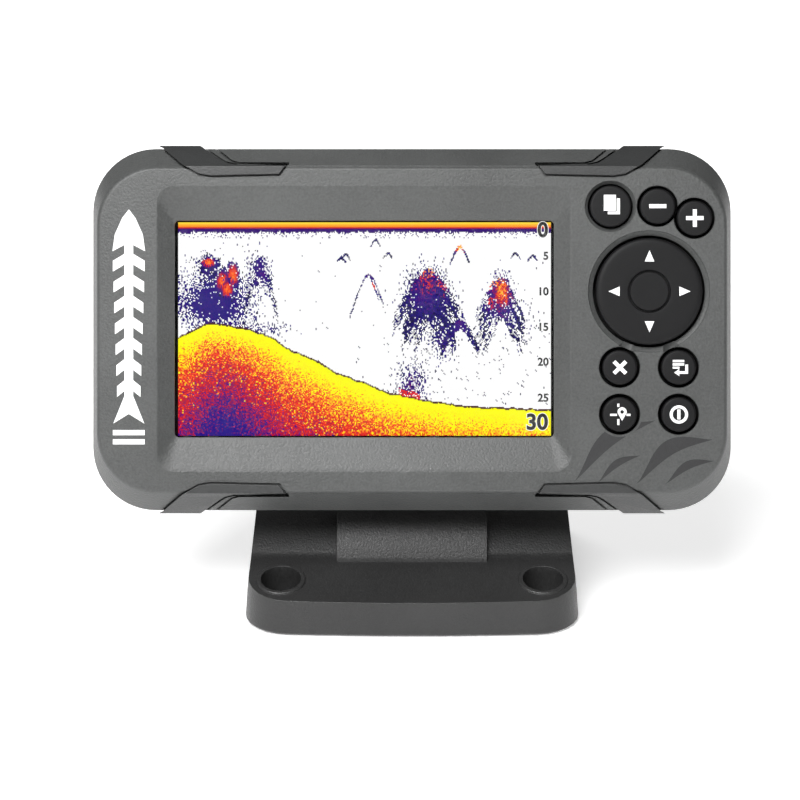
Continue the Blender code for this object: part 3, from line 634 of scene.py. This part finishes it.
def directionPad():
    spot, cap = middle("dpad_rocker"), half("dpad_rocker").x
    low, high = boxOf("dpad_rocker", unitPlace)
    top = low.y
    profile = [(high.y, cap - 0.3), (high.y - 0.3, cap), (top + 1.0, cap), (top + 0.55, cap - 0.1),
               (top + 0.25, cap - 0.35), (top + 0.08, cap - 0.8), (top + 0.02, cap - 1.4), (top, cap - 2.4),
               (top, 7.0), (top + 0.05, 5.75), (top + 0.1, 5.45), (top + 0.3, 5.3), (top + 0.75, 5.2),
               (top + 0.75, 5.0), (top + 0.3, 4.9), (top + 0.12, 4.75), (top + 0.08, 4.4),
               (top + 0.12, 2.0), (top + 0.14, 0.02)]
    bm = bmesh.new()
    turned(bm, profile, (spot.x, spot.z), 120)
    obj = made("direction_pad", bm)
    fitted(obj, "dpad_rocker", spot, top)


for node in wells:
    if node != "dpad_rocker":
        key(node)
directionPad()
print("keys ready")


# the sonar picture, as cells with their own colours on the front of the display glass

sonar = {
    "pitch": 0.27,
    "lit": (47.35, 27.0),  # half size of the lit part
    "seed": 11,
    # the lake bed from left to right, as shares of the picture's width and height
    "bed": [(0, 0.543), (0.04, 0.509), (0.07, 0.478), (0.1, 0.475), (0.19, 0.502), (0.257, 0.546),
            (0.29, 0.59), (0.38, 0.657), (0.42, 0.705), (0.5, 0.752), (0.55, 0.795), (0.66, 0.836),
            (0.79, 0.866), (1, 0.882)],
    "heat": [(0.0, (255, 255, 0)), (0.1, (255, 240, 0)), (0.125, (255, 170, 30)), (0.17, (250, 90, 20)),
             (0.25, (232, 20, 20)), (0.38, (190, 0, 40)), (0.48, (125, 0, 85)), (0.58, (45, 0, 135)),
             (0.7, (25, 0, 130))],
    "echo": [(0.0, (14, 10, 40)), (0.3, (22, 0, 125)), (0.55, (80, 0, 120)), (0.72, (205, 15, 40)),
             (0.88, (250, 95, 20)), (1.0, (255, 190, 50))],
}
# a figure, how far down the picture it stands, and its height
scaleFigures = [("0", 0.037, 3.7), ("5", 0.158, 1.95), ("10", 0.325, 1.95), ("15", 0.492, 1.95),
                ("20", 0.656, 1.95), ("25", 0.825, 1.95), ("30", 0.94, 3.9)]


def linear(colour):
    c = np.asarray(colour, float) / 255
    return np.where(c <= 0.04045, c / 12.92, ((c + 0.055) / 1.055) ** 2.4)


def fromStops(stops, value):
    places = [place for place, _ in stops]
    return np.stack([np.interp(value, places, [colour[i] for _, colour in stops]) for i in range(3)], -1)


def sonarColours(columns, rows):
    chance = np.random.RandomState(sonar["seed"])
    u = (np.arange(columns) + 0.5) / columns
    v = (np.arange(rows) + 0.5) / rows
    picture = np.full((rows, columns, 3), 255.0)

    def dab(x, y, strength, long=1, slope=0.0):
        # one echo mark: a short slanting run of cells
        for step in range(int(long)):
            i, j = int(y * rows + step), int(x * columns + step * slope)
            if 0 <= i < rows and 0 <= j < columns:
                picture[i, j] = fromStops(sonar["echo"], np.array(min(1, max(0, strength))))

    def cloud(x, y, wide, tall, count, core=0.3, slope=0.0, long=2):
        for _ in range(count):
            a, b = chance.randn(2) * 0.5
            near = math.exp(-(a * a + b * b) * 1.5)
            strength = core * near + chance.rand() * 0.3
            dab(x + a * wide, y + b * tall, strength, chance.randint(1, long + 1), slope)

    def arch(x, y, wide, tall, count, core, thick=0.012):
        # echoes of one fish: a bow open at the bottom, hottest at its top
        for _ in range(count):
            t = chance.rand() * 2 - 1
            t = t * abs(t) ** 0.4
            height = math.sqrt(1 + (3 * t) ** 2) - 1
            down = y + height * tall / 2.16 + chance.rand() * thick
            strength = core * math.exp(-(t * 2.4) ** 2) + chance.rand() * 0.3
            dab(x + t * wide, down, strength, chance.randint(1, 4), 0.6 * np.sign(t))

    bed = np.interp(u, *zip(*sonar["bed"]))
    bed = bed + np.convolve(chance.randn(columns), np.ones(5) / 5, "same") * 0.004
    # the baitfish cloud at the left, with two hot knots
    for _ in range(3600):
        a, b = chance.randn(2)
        dab(0.098 + a * 0.042, 0.375 + b * 0.062, 0.25 + 0.15 * chance.rand(), chance.randint(1, 3), 0.4)
    cloud(0.082, 0.215, 0.034, 0.07, 420, 0.15)
    cloud(0.01, 0.33, 0.03, 0.14, 120, 0.2)
    cloud(0.195, 0.31, 0.03, 0.22, 120, 0.2)
    cloud(0.19, 0.5, 0.12, 0.04, 260, 0.25)
    for x, y, wide, tall, count in ((0.082, 0.185, 0.02, 0.02, 170), (0.147, 0.245, 0.016, 0.05, 420),
                                    (0.119, 0.275, 0.016, 0.045, 320), (0.132, 0.31, 0.016, 0.04, 200)):
        for _ in range(count):
            a, b = chance.randn(2) * 0.55
            dab(x + a * wide, y + b * tall, 0.95 - 0.35 * (a * a + b * b) - 0.12 * chance.rand(), 2)
    arch(0.222, 0.16, 0.045, 0.24, 240, 0.2, 0.09)
    cloud(0.222, 0.24, 0.035, 0.09, 240, 0.3)
    # single fish and schools to the right
    for layer in range(26):
        drop = layer / 26
        arch(0.672 + chance.randn() * 0.012, 0.21 + 0.2 * drop + 0.02 * chance.rand(), 0.075 - 0.02 * drop,
             0.17, int(150 - 70 * drop), 0.85 * (1 - drop), 0.03)
        arch(0.868 + chance.randn() * 0.008, 0.25 + 0.17 * drop + 0.02 * chance.rand(), 0.06 - 0.01 * drop,
             0.17, int(70 - 28 * drop), 0.9 * (1 - 0.7 * drop), 0.025)
    cloud(0.665, 0.3, 0.045, 0.09, 900, 0.55)
    cloud(0.665, 0.36, 0.06, 0.12, 700, 0.3)
    cloud(0.868, 0.33, 0.03, 0.1, 380, 0.8)
    arch(0.756, 0.108, 0.026, 0.08, 110, 0.95, 0.012)
    arch(0.756, 0.45, 0.05, 0.13, 420, 0.3, 0.05)
    cloud(0.71, 0.55, 0.035, 0.12, 240, 0.25)
    cloud(0.69, 0.47, 0.07, 0.16, 260, 0.1)
    cloud(0.9, 0.47, 0.07, 0.12, 110, 0.1)
    arch(0.511, 0.24, 0.05, 0.2, 90, 0.3, 0.01)
    for _ in range(60):
        a = chance.rand()
        down = 0.25 + 0.1 * a + 0.008 * chance.rand()
        dab(0.515 + 0.022 * a, down, 0.35 + 0.4 * (abs(a - 0.4) < 0.15), 2, 0.5)
    for x, y in ((0.438, 0.158), (0.45, 0.145), (0.53, 0.078), (0.563, 0.139), (0.905, 0.139), (0.95, 0.15)):
        arch(x, y, 0.01, 0.02, 26, 0.0, 0.008)
    cloud(0.628, 0.765, 0.045, 0.11, 420, 0.35)
    for _ in range(90):
        dab(chance.rand(), 0.05 + 0.8 * chance.rand() ** 1.3, 0.1, chance.randint(1, 3), 0.5)
    for _ in range(150):
        dab(0.55 + 0.45 * chance.rand(), 0.5 + 0.35 * chance.rand(), 0.1, chance.randint(1, 3), 0.8)

    # the bed: yellow on top, then speckled orange, red and violet
    below = v[:, None] - bed[None, :]
    quick = 1 + 0.45 * np.exp(-(((u - 0.13) / 0.09) ** 2))[None, :] - 0.25 * np.clip(u - 0.6, 0, 1)[None, :]
    heat = below * quick
    heat = heat + chance.randn(rows, columns) * (0.014 + 0.34 * np.clip(heat, 0, 0.3)) * (heat > 0.03)
    picture = np.where((below > 0)[..., None], fromStops(sonar["heat"], heat), picture)
    rim = (below > -0.004) & (below < 0.004)
    picture[rim] = (70, 20, 30)
    hot = (below > -0.03) & (below < 0.0) & (np.abs(u - 0.62) < 0.03)[None, :]
    hot = hot & (chance.rand(rows, columns) > 0.25)
    picture[hot] = (220, 30, 40)
    # surface clutter along the top
    fringe = 0.042 + 0.012 * chance.rand(columns)
    top = v[:, None] * np.ones(columns)
    picture[top < fringe] = (50, 8, 110)
    picture[top < 0.031] = (170, 20, 60)
    picture[top < 0.026] = (245, 90, 25)
    picture[top < 0.018] = (255, 170, 40)
    picture[top < 0.011] = (255, 215, 60)
    stray = (top > 0.04) & (top < 0.075) & (chance.rand(rows, columns) > 0.93)
    picture[stray] = (50, 8, 110)
    return linear(picture)


def displayGlass():
    low, high = boxOf("lcd_cell", unitPlace)
    columns, rows = int((high.x - low.x) / sonar["pitch"]), int((high.z - low.z) / sonar["pitch"])
    xs, zs = np.linspace(low.x, high.x, columns + 1), np.linspace(high.z, low.z, rows + 1)
    centre = ((low.x + high.x) / 2, (low.z + high.z) / 2)
    wide, tall = sonar["lit"]
    inX = np.abs((xs[:-1] + xs[1:]) / 2 - centre[0]) < wide
    inZ = np.abs((zs[:-1] + zs[1:]) / 2 - centre[1]) < tall
    colours = np.zeros((rows, columns, 3))
    colours[np.ix_(inZ, inX)] = sonarColours(int(inX.sum()), int(inZ.sum()))

    front = [(x, low.y, z) for z in zs for x in xs]
    faces = []
    for i in range(rows):
        for j in range(columns):
            a = i * (columns + 1) + j
            faces.append((a, a + columns + 1, a + columns + 2, a + 1))
    wide = columns + 1
    rim = [i * wide for i in range(rows)] + [rows * wide + j for j in range(columns)]
    rim += [i * wide + columns for i in range(rows, 0, -1)] + list(range(columns, 0, -1))
    start = len(front)
    back = [(front[k][0], high.y, front[k][2]) for k in rim]
    for k in range(len(rim)):
        n = (k + 1) % len(rim)
        faces.append((rim[k], start + k, start + n, rim[n]))
    faces.append(tuple(start + k for k in reversed(range(len(rim)))))
    mesh = bpy.data.meshes.new("display_glass")
    mesh.from_pydata(front + back, [], faces)
    paint = mesh.color_attributes.new("sonar", "FLOAT_COLOR", "CORNER")
    values = np.zeros((len(mesh.loops), 4), np.float32)
    values[:, 3] = 1
    cells = rows * columns
    values[:cells * 4, :3] = np.repeat(colours.reshape(-1, 3), 4, axis=0)
    paint.data.foreach_set("color", values.ravel())
    obj = bpy.data.objects.new("display_glass", mesh)
    bpy.context.scene.collection.objects.link(obj)
    placed(obj, unitPlace, finish["picture"], "display_unit", ["lcd_cell"])


def figureMesh(text, size, weight, thick):
    curve = bpy.data.curves.new(text, "FONT")
    curve.body, curve.size, curve.offset, curve.extrude = text, size, weight, thick
    curve.align_x, curve.align_y = "RIGHT", "CENTER"
    curve.resolution_u = 6
    obj = bpy.data.objects.new(text, curve)
    bpy.context.scene.collection.objects.link(obj)
    bpy.context.view_layer.update()
    mesh = bpy.data.meshes.new_from_object(obj.evaluated_get(bpy.context.evaluated_depsgraph_get()))
    bpy.data.objects.remove(obj)
    bpy.data.curves.remove(curve)
    return mesh


def depthScale():
    # black figures with a white edge, right against the picture
    low, _ = boxOf("lcd_cell", unitPlace)
    spot, (wide, tall) = middle("lcd_cell"), sonar["lit"]
    bm = bmesh.new()
    upright = Matrix.Rotation(math.radians(90), 4, "X")
    for text, down, height in scaleFigures:
        for paint, weight, lift in ((0, 0.085 * height, 0.02), (1, 0.045 * height, 0.05)):
            mesh = figureMesh(text, height / 0.7, weight, 0.01)
            place = Matrix.Translation((spot.x + wide - 0.45 - 0.09 * height, low.y - lift,
                                        spot.z + tall - down * 2 * tall))
            mesh.transform(place @ upright)
            known = len(bm.faces)
            bm.from_mesh(mesh)
            bm.faces.ensure_lookup_table()
            for face in bm.faces[known:]:
                face.material_index = paint
            bpy.data.meshes.remove(mesh)
    mesh = bpy.data.meshes.new("depth_scale")
    bm.to_mesh(mesh)
    bm.free()
    obj = bpy.data.objects.new("depth_scale", mesh)
    bpy.context.scene.collection.objects.link(obj)
    mesh.materials.append(finish["litWhite"])
    mesh.materials.append(finish["litBlack"])
    placed(obj, unitPlace, None, "display_unit", ())


displayGlass()
depthScale()
print("picture ready")


# printed marks on the front: a plain fish bone at the left, waves at the lower right

marks = {
    "thick": 0.03,
    "bone": {"x": -71.2, "top": 30.2, "bottom": -23.6, "wide": 8.2, "ribs": 7, "rib": 2.7, "spine": 2.2},
    # crescent waves: one tip, the other tip, and how far the outer and the inner arc bulge
    "waves": [((40.8, -38.2), (61.2, -22.8), 5.4, 1.4), ((56.4, -38.8), (75.6, -27.6), 5.6, 1.8),
              ((63.6, -38.9), (75.9, -33.0), 2.9, 0.8), ((46.6, -38.6), (57.4, -31.6), 2.4, 0.6)],
}


def whiteMark():
    # a fish bone standing on its tail, with two bars under it
    bone = marks["bone"]
    x, top, bottom, wide = bone["x"], bone["top"], bone["bottom"], bone["wide"] / 2
    head, tail = top - 10.5, bottom + 6.5
    outlines = [[(x - wide, head), (x - wide * 0.86, head + 4.2), (x - wide * 0.4, head + 8.4), (x, top),
                 (x + wide * 0.4, head + 8.4), (x + wide * 0.86, head + 4.2), (x + wide, head),
                 (x, head + 2.2)],
                [(x - wide * 0.95, bottom), (x, bottom + 2.4), (x + wide * 0.95, bottom),
                 (x + 1.1, tail + 0.4), (x - 1.1, tail + 0.4)],
                bar(bone["spine"], head + 2.4 - tail, x, (head + 2.4 + tail) / 2)]
    for rib in range(bone["ribs"]):
        share = (rib + 0.55) / bone["ribs"]
        z = head + (tail - head) * share
        reach = wide * (1.0 - 0.3 * share)
        lower = [(x - reach, z - 2.2), (x, z + 0.2), (x + reach, z - 2.2)]
        outlines.append(lower + [(a, b + bone["rib"]) for a, b in reversed(lower)])
    outlines += [bar(8.0, 1.3, x, bottom - 2.3), bar(8.0, 1.3, x, bottom - 4.6)]
    bm = bmesh.new()
    for i, outline in enumerate(outlines):
        plate(bm, outline, -marks["thick"] - 0.002 * i, 0.15)
    placed(made("front_mark", bm), unitPlace, finish["print"], "display_unit", ())


def darkMark():
    # crescent waves, cut short where the keys' wells are
    bm = bmesh.new()
    for i, (first, last, outer, inner) in enumerate(marks["waves"]):
        start, along = Vector(first), Vector(last) - Vector(first)
        across = Vector((-along.y, along.x)).normalized()
        arcs = []
        for bulge in (outer, inner):
            arcs.append([tuple(start + along * t ** 0.9 + across * bulge * math.sin(math.pi * t) ** 1.2)
                         for t in (k / 30 for k in range(31))])
        plate(bm, arcs[0] + arcs[1][-2:0:-1], -marks["thick"] * 0.6 - 0.002 * i, 0.15)
    obj = made("wave_mark", bm)
    for node in ("waypoint_key", "power_key"):
        spot = keyPlace[node]
        bm = bmesh.new()
        turned(bm, [(-1.0, 5.7), (1.0, 5.7)], (spot.x, spot.z), 48)
        joined(obj, made("cut", bm), "DIFFERENCE")
    placed(obj, unitPlace, finish["darkPrint"], "display_unit", ())


whiteMark()
darkMark()
print("printed marks ready")


# shells, bracket and fittings that keep the CAD shape, with their edges rounded

refined = [  # node, body, finish, slot, edge radius
    ("rear_housing", "display_unit", "shell", "rear_shell", 0.35),
    ("rear_socket", "display_unit", "socket", "socket", 0.2),
    ("vent_plug", "display_unit", "seal", "seals", 0.2),
    ("tilt_head", "tilt_head", "head", "bracket", 0.35),
    ("release_lever", "release_lever", "trim", "release", 0.5),
    ("lever_pin", "release_lever", "steel", "fasteners", 0.15),
    ("clamp_shoe", "clamp_shoe", "trim", "release", 0.2),
    ("mount_base", "bracket_base", "bracket", "bracket", 0.9),
    ("tilt_bolt", "bracket_base", "steel", "fasteners", 0.2),
    ("tilt_nut", "bracket_base", "steel", "fasteners", 0.2),
    ("friction_washer_left", "bracket_base", "seal", "seals", 0.15),
    ("friction_washer_right", "bracket_base", "seal", "seals", 0.15),
]


def refine(node, body, finishName, slotName, radius):
    bm = bmesh.new()
    bm.from_mesh(frame["nodes"][node].data)
    bmesh.ops.scale(bm, vec=(1 / mm,) * 3, verts=bm.verts)
    bmesh.ops.remove_doubles(bm, verts=bm.verts, dist=0.005)
    bmesh.ops.dissolve_limit(bm, angle_limit=math.radians(1.0), verts=bm.verts, edges=bm.edges)
    obj = made(node + "_shape", bm)
    softened(obj, radius, 3)
    placed(obj, basePlace, finish[finishName], body, [node])


for row in refined:
    refine(*row)
print("shells and bracket ready")


# what repeats: cross-head screws on the back, and grip ribs on the release lever

screws = {
    "nodes": ["housing_screw_%d" % number for number in range(1, 7)],
    "Head Radius": 2.65,
    "Head Height": 2.2,
    "Shank Radius": 1.2,
    "Shank Length": 8.0,
    "Slot Length": 3.0,
    "Slot Width": 0.75,
    "Slot Depth": 1.3,
}
ribs = {
    "Count": 6,
    "Pitch": 1.75,
    "Rib Radius": 0.42,
    "Rib Length": 6.0,
}


def newTree(name, sizes):
    tree = bpy.data.node_groups.new(name, "GeometryNodeTree")
    tree.interface.new_socket("Geometry", in_out="INPUT", socket_type="NodeSocketGeometry")
    for label, value in sizes.items():
        kind = "NodeSocketInt" if isinstance(value, int) else "NodeSocketFloat"
        tree.interface.new_socket(label, in_out="INPUT", socket_type=kind).default_value = value
    tree.interface.new_socket("Material", in_out="INPUT", socket_type="NodeSocketMaterial")
    tree.interface.new_socket("Geometry", in_out="OUTPUT", socket_type="NodeSocketGeometry")
    return tree, tree.nodes.new("NodeGroupInput"), tree.nodes.new("NodeGroupOutput")


def add(tree, kind, **links):
    # a node with its inputs linked or set by name
    node = tree.nodes.new(kind)
    for label, value in links.items():
        socket = node.inputs[label.replace("_", " ")]
        if isinstance(value, bpy.types.NodeSocket):
            tree.links.new(value, socket)
        else:
            socket.default_value = value
    return node


def vector(tree, x, y, z):
    return add(tree, "ShaderNodeCombineXYZ", X=x, Y=y, Z=z).outputs["Vector"]


def scaled(tree, value, factor):
    node = tree.nodes.new("ShaderNodeMath")
    node.operation = "MULTIPLY"
    tree.links.new(value, node.inputs[0])
    node.inputs[1].default_value = factor
    return node.outputs[0]


def finishTree(tree, into, out, points, shape, turn):
    copies = add(tree, "GeometryNodeInstanceOnPoints", Points=points, Instance=shape, Rotation=turn)
    real = add(tree, "GeometryNodeRealizeInstances", Geometry=copies.outputs["Instances"])
    painted = add(tree, "GeometryNodeSetMaterial", Geometry=real.outputs["Geometry"],
                  Material=into.outputs["Material"])
    tree.links.new(painted.outputs["Geometry"], out.inputs["Geometry"])


def screwTree():
    sizes = {label: value for label, value in screws.items() if label != "nodes"}
    tree, into, out = newTree("crossHeadScrews", sizes)
    size = into.outputs
    head = add(tree, "GeometryNodeMeshCylinder", Vertices=40, Radius=size["Head Radius"],
               Depth=size["Head Height"])
    down = vector(tree, 0.0, 0.0, scaled(tree, size["Head Height"], -0.5))
    head = add(tree, "GeometryNodeTransform", Geometry=head.outputs["Mesh"], Translation=down)
    cutters = []
    for x, y in (("Slot Length", "Slot Width"), ("Slot Width", "Slot Length")):
        depth = scaled(tree, size["Slot Depth"], 2.0)
        cutters.append(add(tree, "GeometryNodeMeshCube", Size=vector(tree, size[x], size[y], depth)))
    carved = head.outputs["Geometry"]
    for cutter in cutters:
        cut = tree.nodes.new("GeometryNodeMeshBoolean")
        cut.operation = "DIFFERENCE"
        tree.links.new(carved, cut.inputs["Mesh 1"])
        tree.links.new(cutter.outputs["Mesh"], cut.inputs["Mesh 2"])
        carved = cut.outputs["Mesh"]
    shank = add(tree, "GeometryNodeMeshCylinder", Vertices=20, Radius=size["Shank Radius"],
                Depth=size["Shank Length"])
    reach = add(tree, "ShaderNodeVectorMath")
    tree.links.new(vector(tree, 0.0, 0.0, scaled(tree, size["Shank Length"], -0.5)), reach.inputs[0])
    tree.links.new(vector(tree, 0.0, 0.0, scaled(tree, size["Head Height"], -0.9)), reach.inputs[1])
    shank = add(tree, "GeometryNodeTransform", Geometry=shank.outputs["Mesh"], Translation=reach.outputs[0])
    whole = tree.nodes.new("GeometryNodeJoinGeometry")
    tree.links.new(carved, whole.inputs["Geometry"])
    tree.links.new(shank.outputs["Geometry"], whole.inputs["Geometry"])
    finishTree(tree, into, out, size["Geometry"], whole.outputs["Geometry"], (math.radians(-90), 0, 0))
    return tree


def ribTree():
    tree, into, out = newTree("gripRibs", ribs)
    size = into.outputs
    step = vector(tree, size["Pitch"], 0.0, 0.0)
    line = add(tree, "GeometryNodeMeshLine", Count=size["Count"], Offset=step)
    rib = add(tree, "GeometryNodeMeshCylinder", Vertices=20, Radius=size["Rib Radius"],
              Depth=size["Rib Length"])
    ends = []
    for side in (-0.5, 0.5):
        ball = add(tree, "GeometryNodeMeshUVSphere", Segments=20, Rings=10, Radius=size["Rib Radius"])
        shift = vector(tree, 0.0, 0.0, scaled(tree, size["Rib Length"], side))
        ends.append(add(tree, "GeometryNodeTransform", Geometry=ball.outputs["Mesh"], Translation=shift))
    shape = tree.nodes.new("GeometryNodeJoinGeometry")
    tree.links.new(rib.outputs["Mesh"], shape.inputs["Geometry"])
    for end in ends:
        tree.links.new(end.outputs["Geometry"], shape.inputs["Geometry"])
    finishTree(tree, into, out, line.outputs["Mesh"], shape.outputs["Geometry"], (0, 0, 0))
    return tree


def repeated(name, tree, sizes, points, material):
    mesh = bpy.data.meshes.new(name)
    mesh.from_pydata(points, [], [])
    obj = bpy.data.objects.new(name, mesh)
    bpy.context.scene.collection.objects.link(obj)
    modifier = obj.modifiers.new("copies", "NODES")
    modifier.node_group = tree
    for item in tree.interface.items_tree:
        if item.in_out == "INPUT" and item.name in sizes:
            modifier[item.identifier] = sizes[item.name]
        if item.in_out == "INPUT" and item.name == "Material":
            modifier[item.identifier] = material
    return settled(obj)


def housingScrews():
    spots = []
    for node in screws["nodes"]:
        spot = middle(node)
        spots.append((spot.x, spot.y + half(node).y, spot.z))
    obj = repeated("housing_screws", screwTree(), screws, spots, finish["steel"])
    softened(obj, 0)
    placed(obj, unitPlace, finish["steel"], "display_unit", screws["nodes"])


def gripRibs():
    low, high = boxOf("release_lever", unitPlace)
    obj = repeated("grip_ribs", ribTree(), ribs, [(0, 0, 0)], finish["trim"])
    softened(obj, 0)
    start = Vector((high.x - 3.0 - ribs["Pitch"] * (ribs["Count"] - 1), high.y - 0.05, (low.z + high.z) / 2))
    obj.data.transform(Matrix.Translation(start))
    placed(obj, unitPlace, finish["trim"], "release_lever", ())


housingScrews()
gripRibs()
print("screws and ribs ready")


# CAD parts that stay as they are get their finish

kept = {
    "window_pane": "window", "window_gasket": "seal", "housing_seal": "seal", "keypad_mat": "seal",
    "lcd_backlight": "diffuser", "lcd_carrier": "sheet", "processor_shield": "sheet", "dome_sheet": "sheet",
    "main_board": "board", "key_board": "board", "lcd_ribbon": "film", "gps_antenna": "ceramic",
    "alarm_buzzer": "seal", "socket_pins": "brass", "dpad_hub": "key",
}
for node, finishName in kept.items():
    obj = frame["nodes"][node]
    if obj.material_slots:
        obj.material_slots[0].material = finish[finishName]
    else:
        obj.data.materials.append(finish[finishName])


# camera, floor and light

view = {
    "distance": 0.650,
    "lens": 116.35,
    "shift": (-0.015, -0.088),
}
light = {
    "key": {"turn": -24, "rise": 50, "away": 0.66, "size": 0.42, "power": 6.6},
    "fill": {"turn": 20, "rise": 12, "away": 0.9, "size": 0.5, "power": 0.5},
    "back": {"turn": 200, "rise": 55, "away": 1.0, "size": 0.7, "power": 5.0},
    "room": 0.08,
    "floor": (0.45, 1.0),  # the floor's own light, near the object and far from it
}


def camera():
    into = Vector((0, upTheFace.z, -upTheFace.y))
    target = unitPlace @ Vector((0, 0, 0))
    data = bpy.data.cameras.new("camera")
    data.lens, data.sensor_width = view["lens"], 36.0
    data.shift_x, data.shift_y = view["shift"]
    obj = bpy.data.objects.new("camera", data)
    bpy.context.scene.collection.objects.link(obj)
    turn = Matrix((Vector((1, 0, 0)), upTheFace, -into)).transposed().to_4x4()
    obj.matrix_world = Matrix.Translation(target - into * view["distance"]) @ turn
    bpy.context.scene.camera = obj


def softbox(name, turn, rise, away, size, power):
    data = bpy.data.lights.new(name, "AREA")
    data.shape, data.size, data.energy = "SQUARE", size, power
    obj = bpy.data.objects.new(name, data)
    bpy.context.scene.collection.objects.link(obj)
    a, e = math.radians(turn), math.radians(rise)
    target = (cadBox[0] + cadBox[1]) / 2
    toward = Vector((math.sin(a) * math.cos(e), -math.cos(a) * math.cos(e), math.sin(e)))
    obj.location = target + toward * away
    obj.rotation_euler = toward.to_track_quat("Z", "Y").to_euler()
    obj.visible_glossy = name != "back"


def floor():
    bm = bmesh.new()
    bmesh.ops.create_grid(bm, x_segments=1, y_segments=1, size=6.0)
    obj = made("floor", bm)
    obj.location = (0, 0, cadBox[0].z - 0.0002)
    material, nodes, links, shader = newMaterial("paleFloor")
    coordinate = nodes.new("ShaderNodeTexCoord").outputs["Object"]
    links.new(shaded(nodes, links, (0.9, 0.9, 0.9), noise(nodes, links, coordinate, 3.0), 0.01),
              shader.inputs["Base Color"])
    shader.inputs["Roughness"].default_value = 0.9
    shader.inputs["Specular IOR Level"].default_value = 0.1
    shader.inputs["Emission Color"].default_value = (1, 1, 1, 1)
    apart = nodes.new("ShaderNodeVectorMath")
    apart.operation = "LENGTH"
    links.new(coordinate, apart.inputs[0])
    glow = nodes.new("ShaderNodeMapRange")
    glow.inputs["From Min"].default_value = 0.12
    glow.inputs["From Max"].default_value = 0.7
    glow.inputs["To Min"].default_value, glow.inputs["To Max"].default_value = light["floor"]
    links.new(apart.outputs["Value"], glow.inputs["Value"])
    links.new(glow.outputs["Result"], shader.inputs["Emission Strength"])
    obj.data.materials.append(material)


def room():
    # white behind everything, and a dim room for the light that bounces
    world = bpy.data.worlds.new("room")
    bpy.context.scene.world = world
    world.use_nodes = True
    nodes, links = world.node_tree.nodes, world.node_tree.links
    nodes.clear()
    seen, dim = nodes.new("ShaderNodeBackground"), nodes.new("ShaderNodeBackground")
    seen.inputs["Color"].default_value = (1, 1, 1, 1)
    dim.inputs["Color"].default_value = (1, 1, 1, 1)
    dim.inputs["Strength"].default_value = light["room"]
    rays, mix = nodes.new("ShaderNodeLightPath"), nodes.new("ShaderNodeMixShader")
    out = nodes.new("ShaderNodeOutputWorld")
    links.new(rays.outputs["Is Camera Ray"], mix.inputs["Fac"])
    links.new(dim.outputs["Background"], mix.inputs[1])
    links.new(seen.outputs["Background"], mix.inputs[2])
    links.new(mix.outputs["Shader"], out.inputs["Surface"])


camera()
for name in ("key", "fill", "back"):
    softbox(name, **light[name])
floor()
room()
bpy.context.scene.view_settings.view_transform = "Standard"
print("camera and light ready")
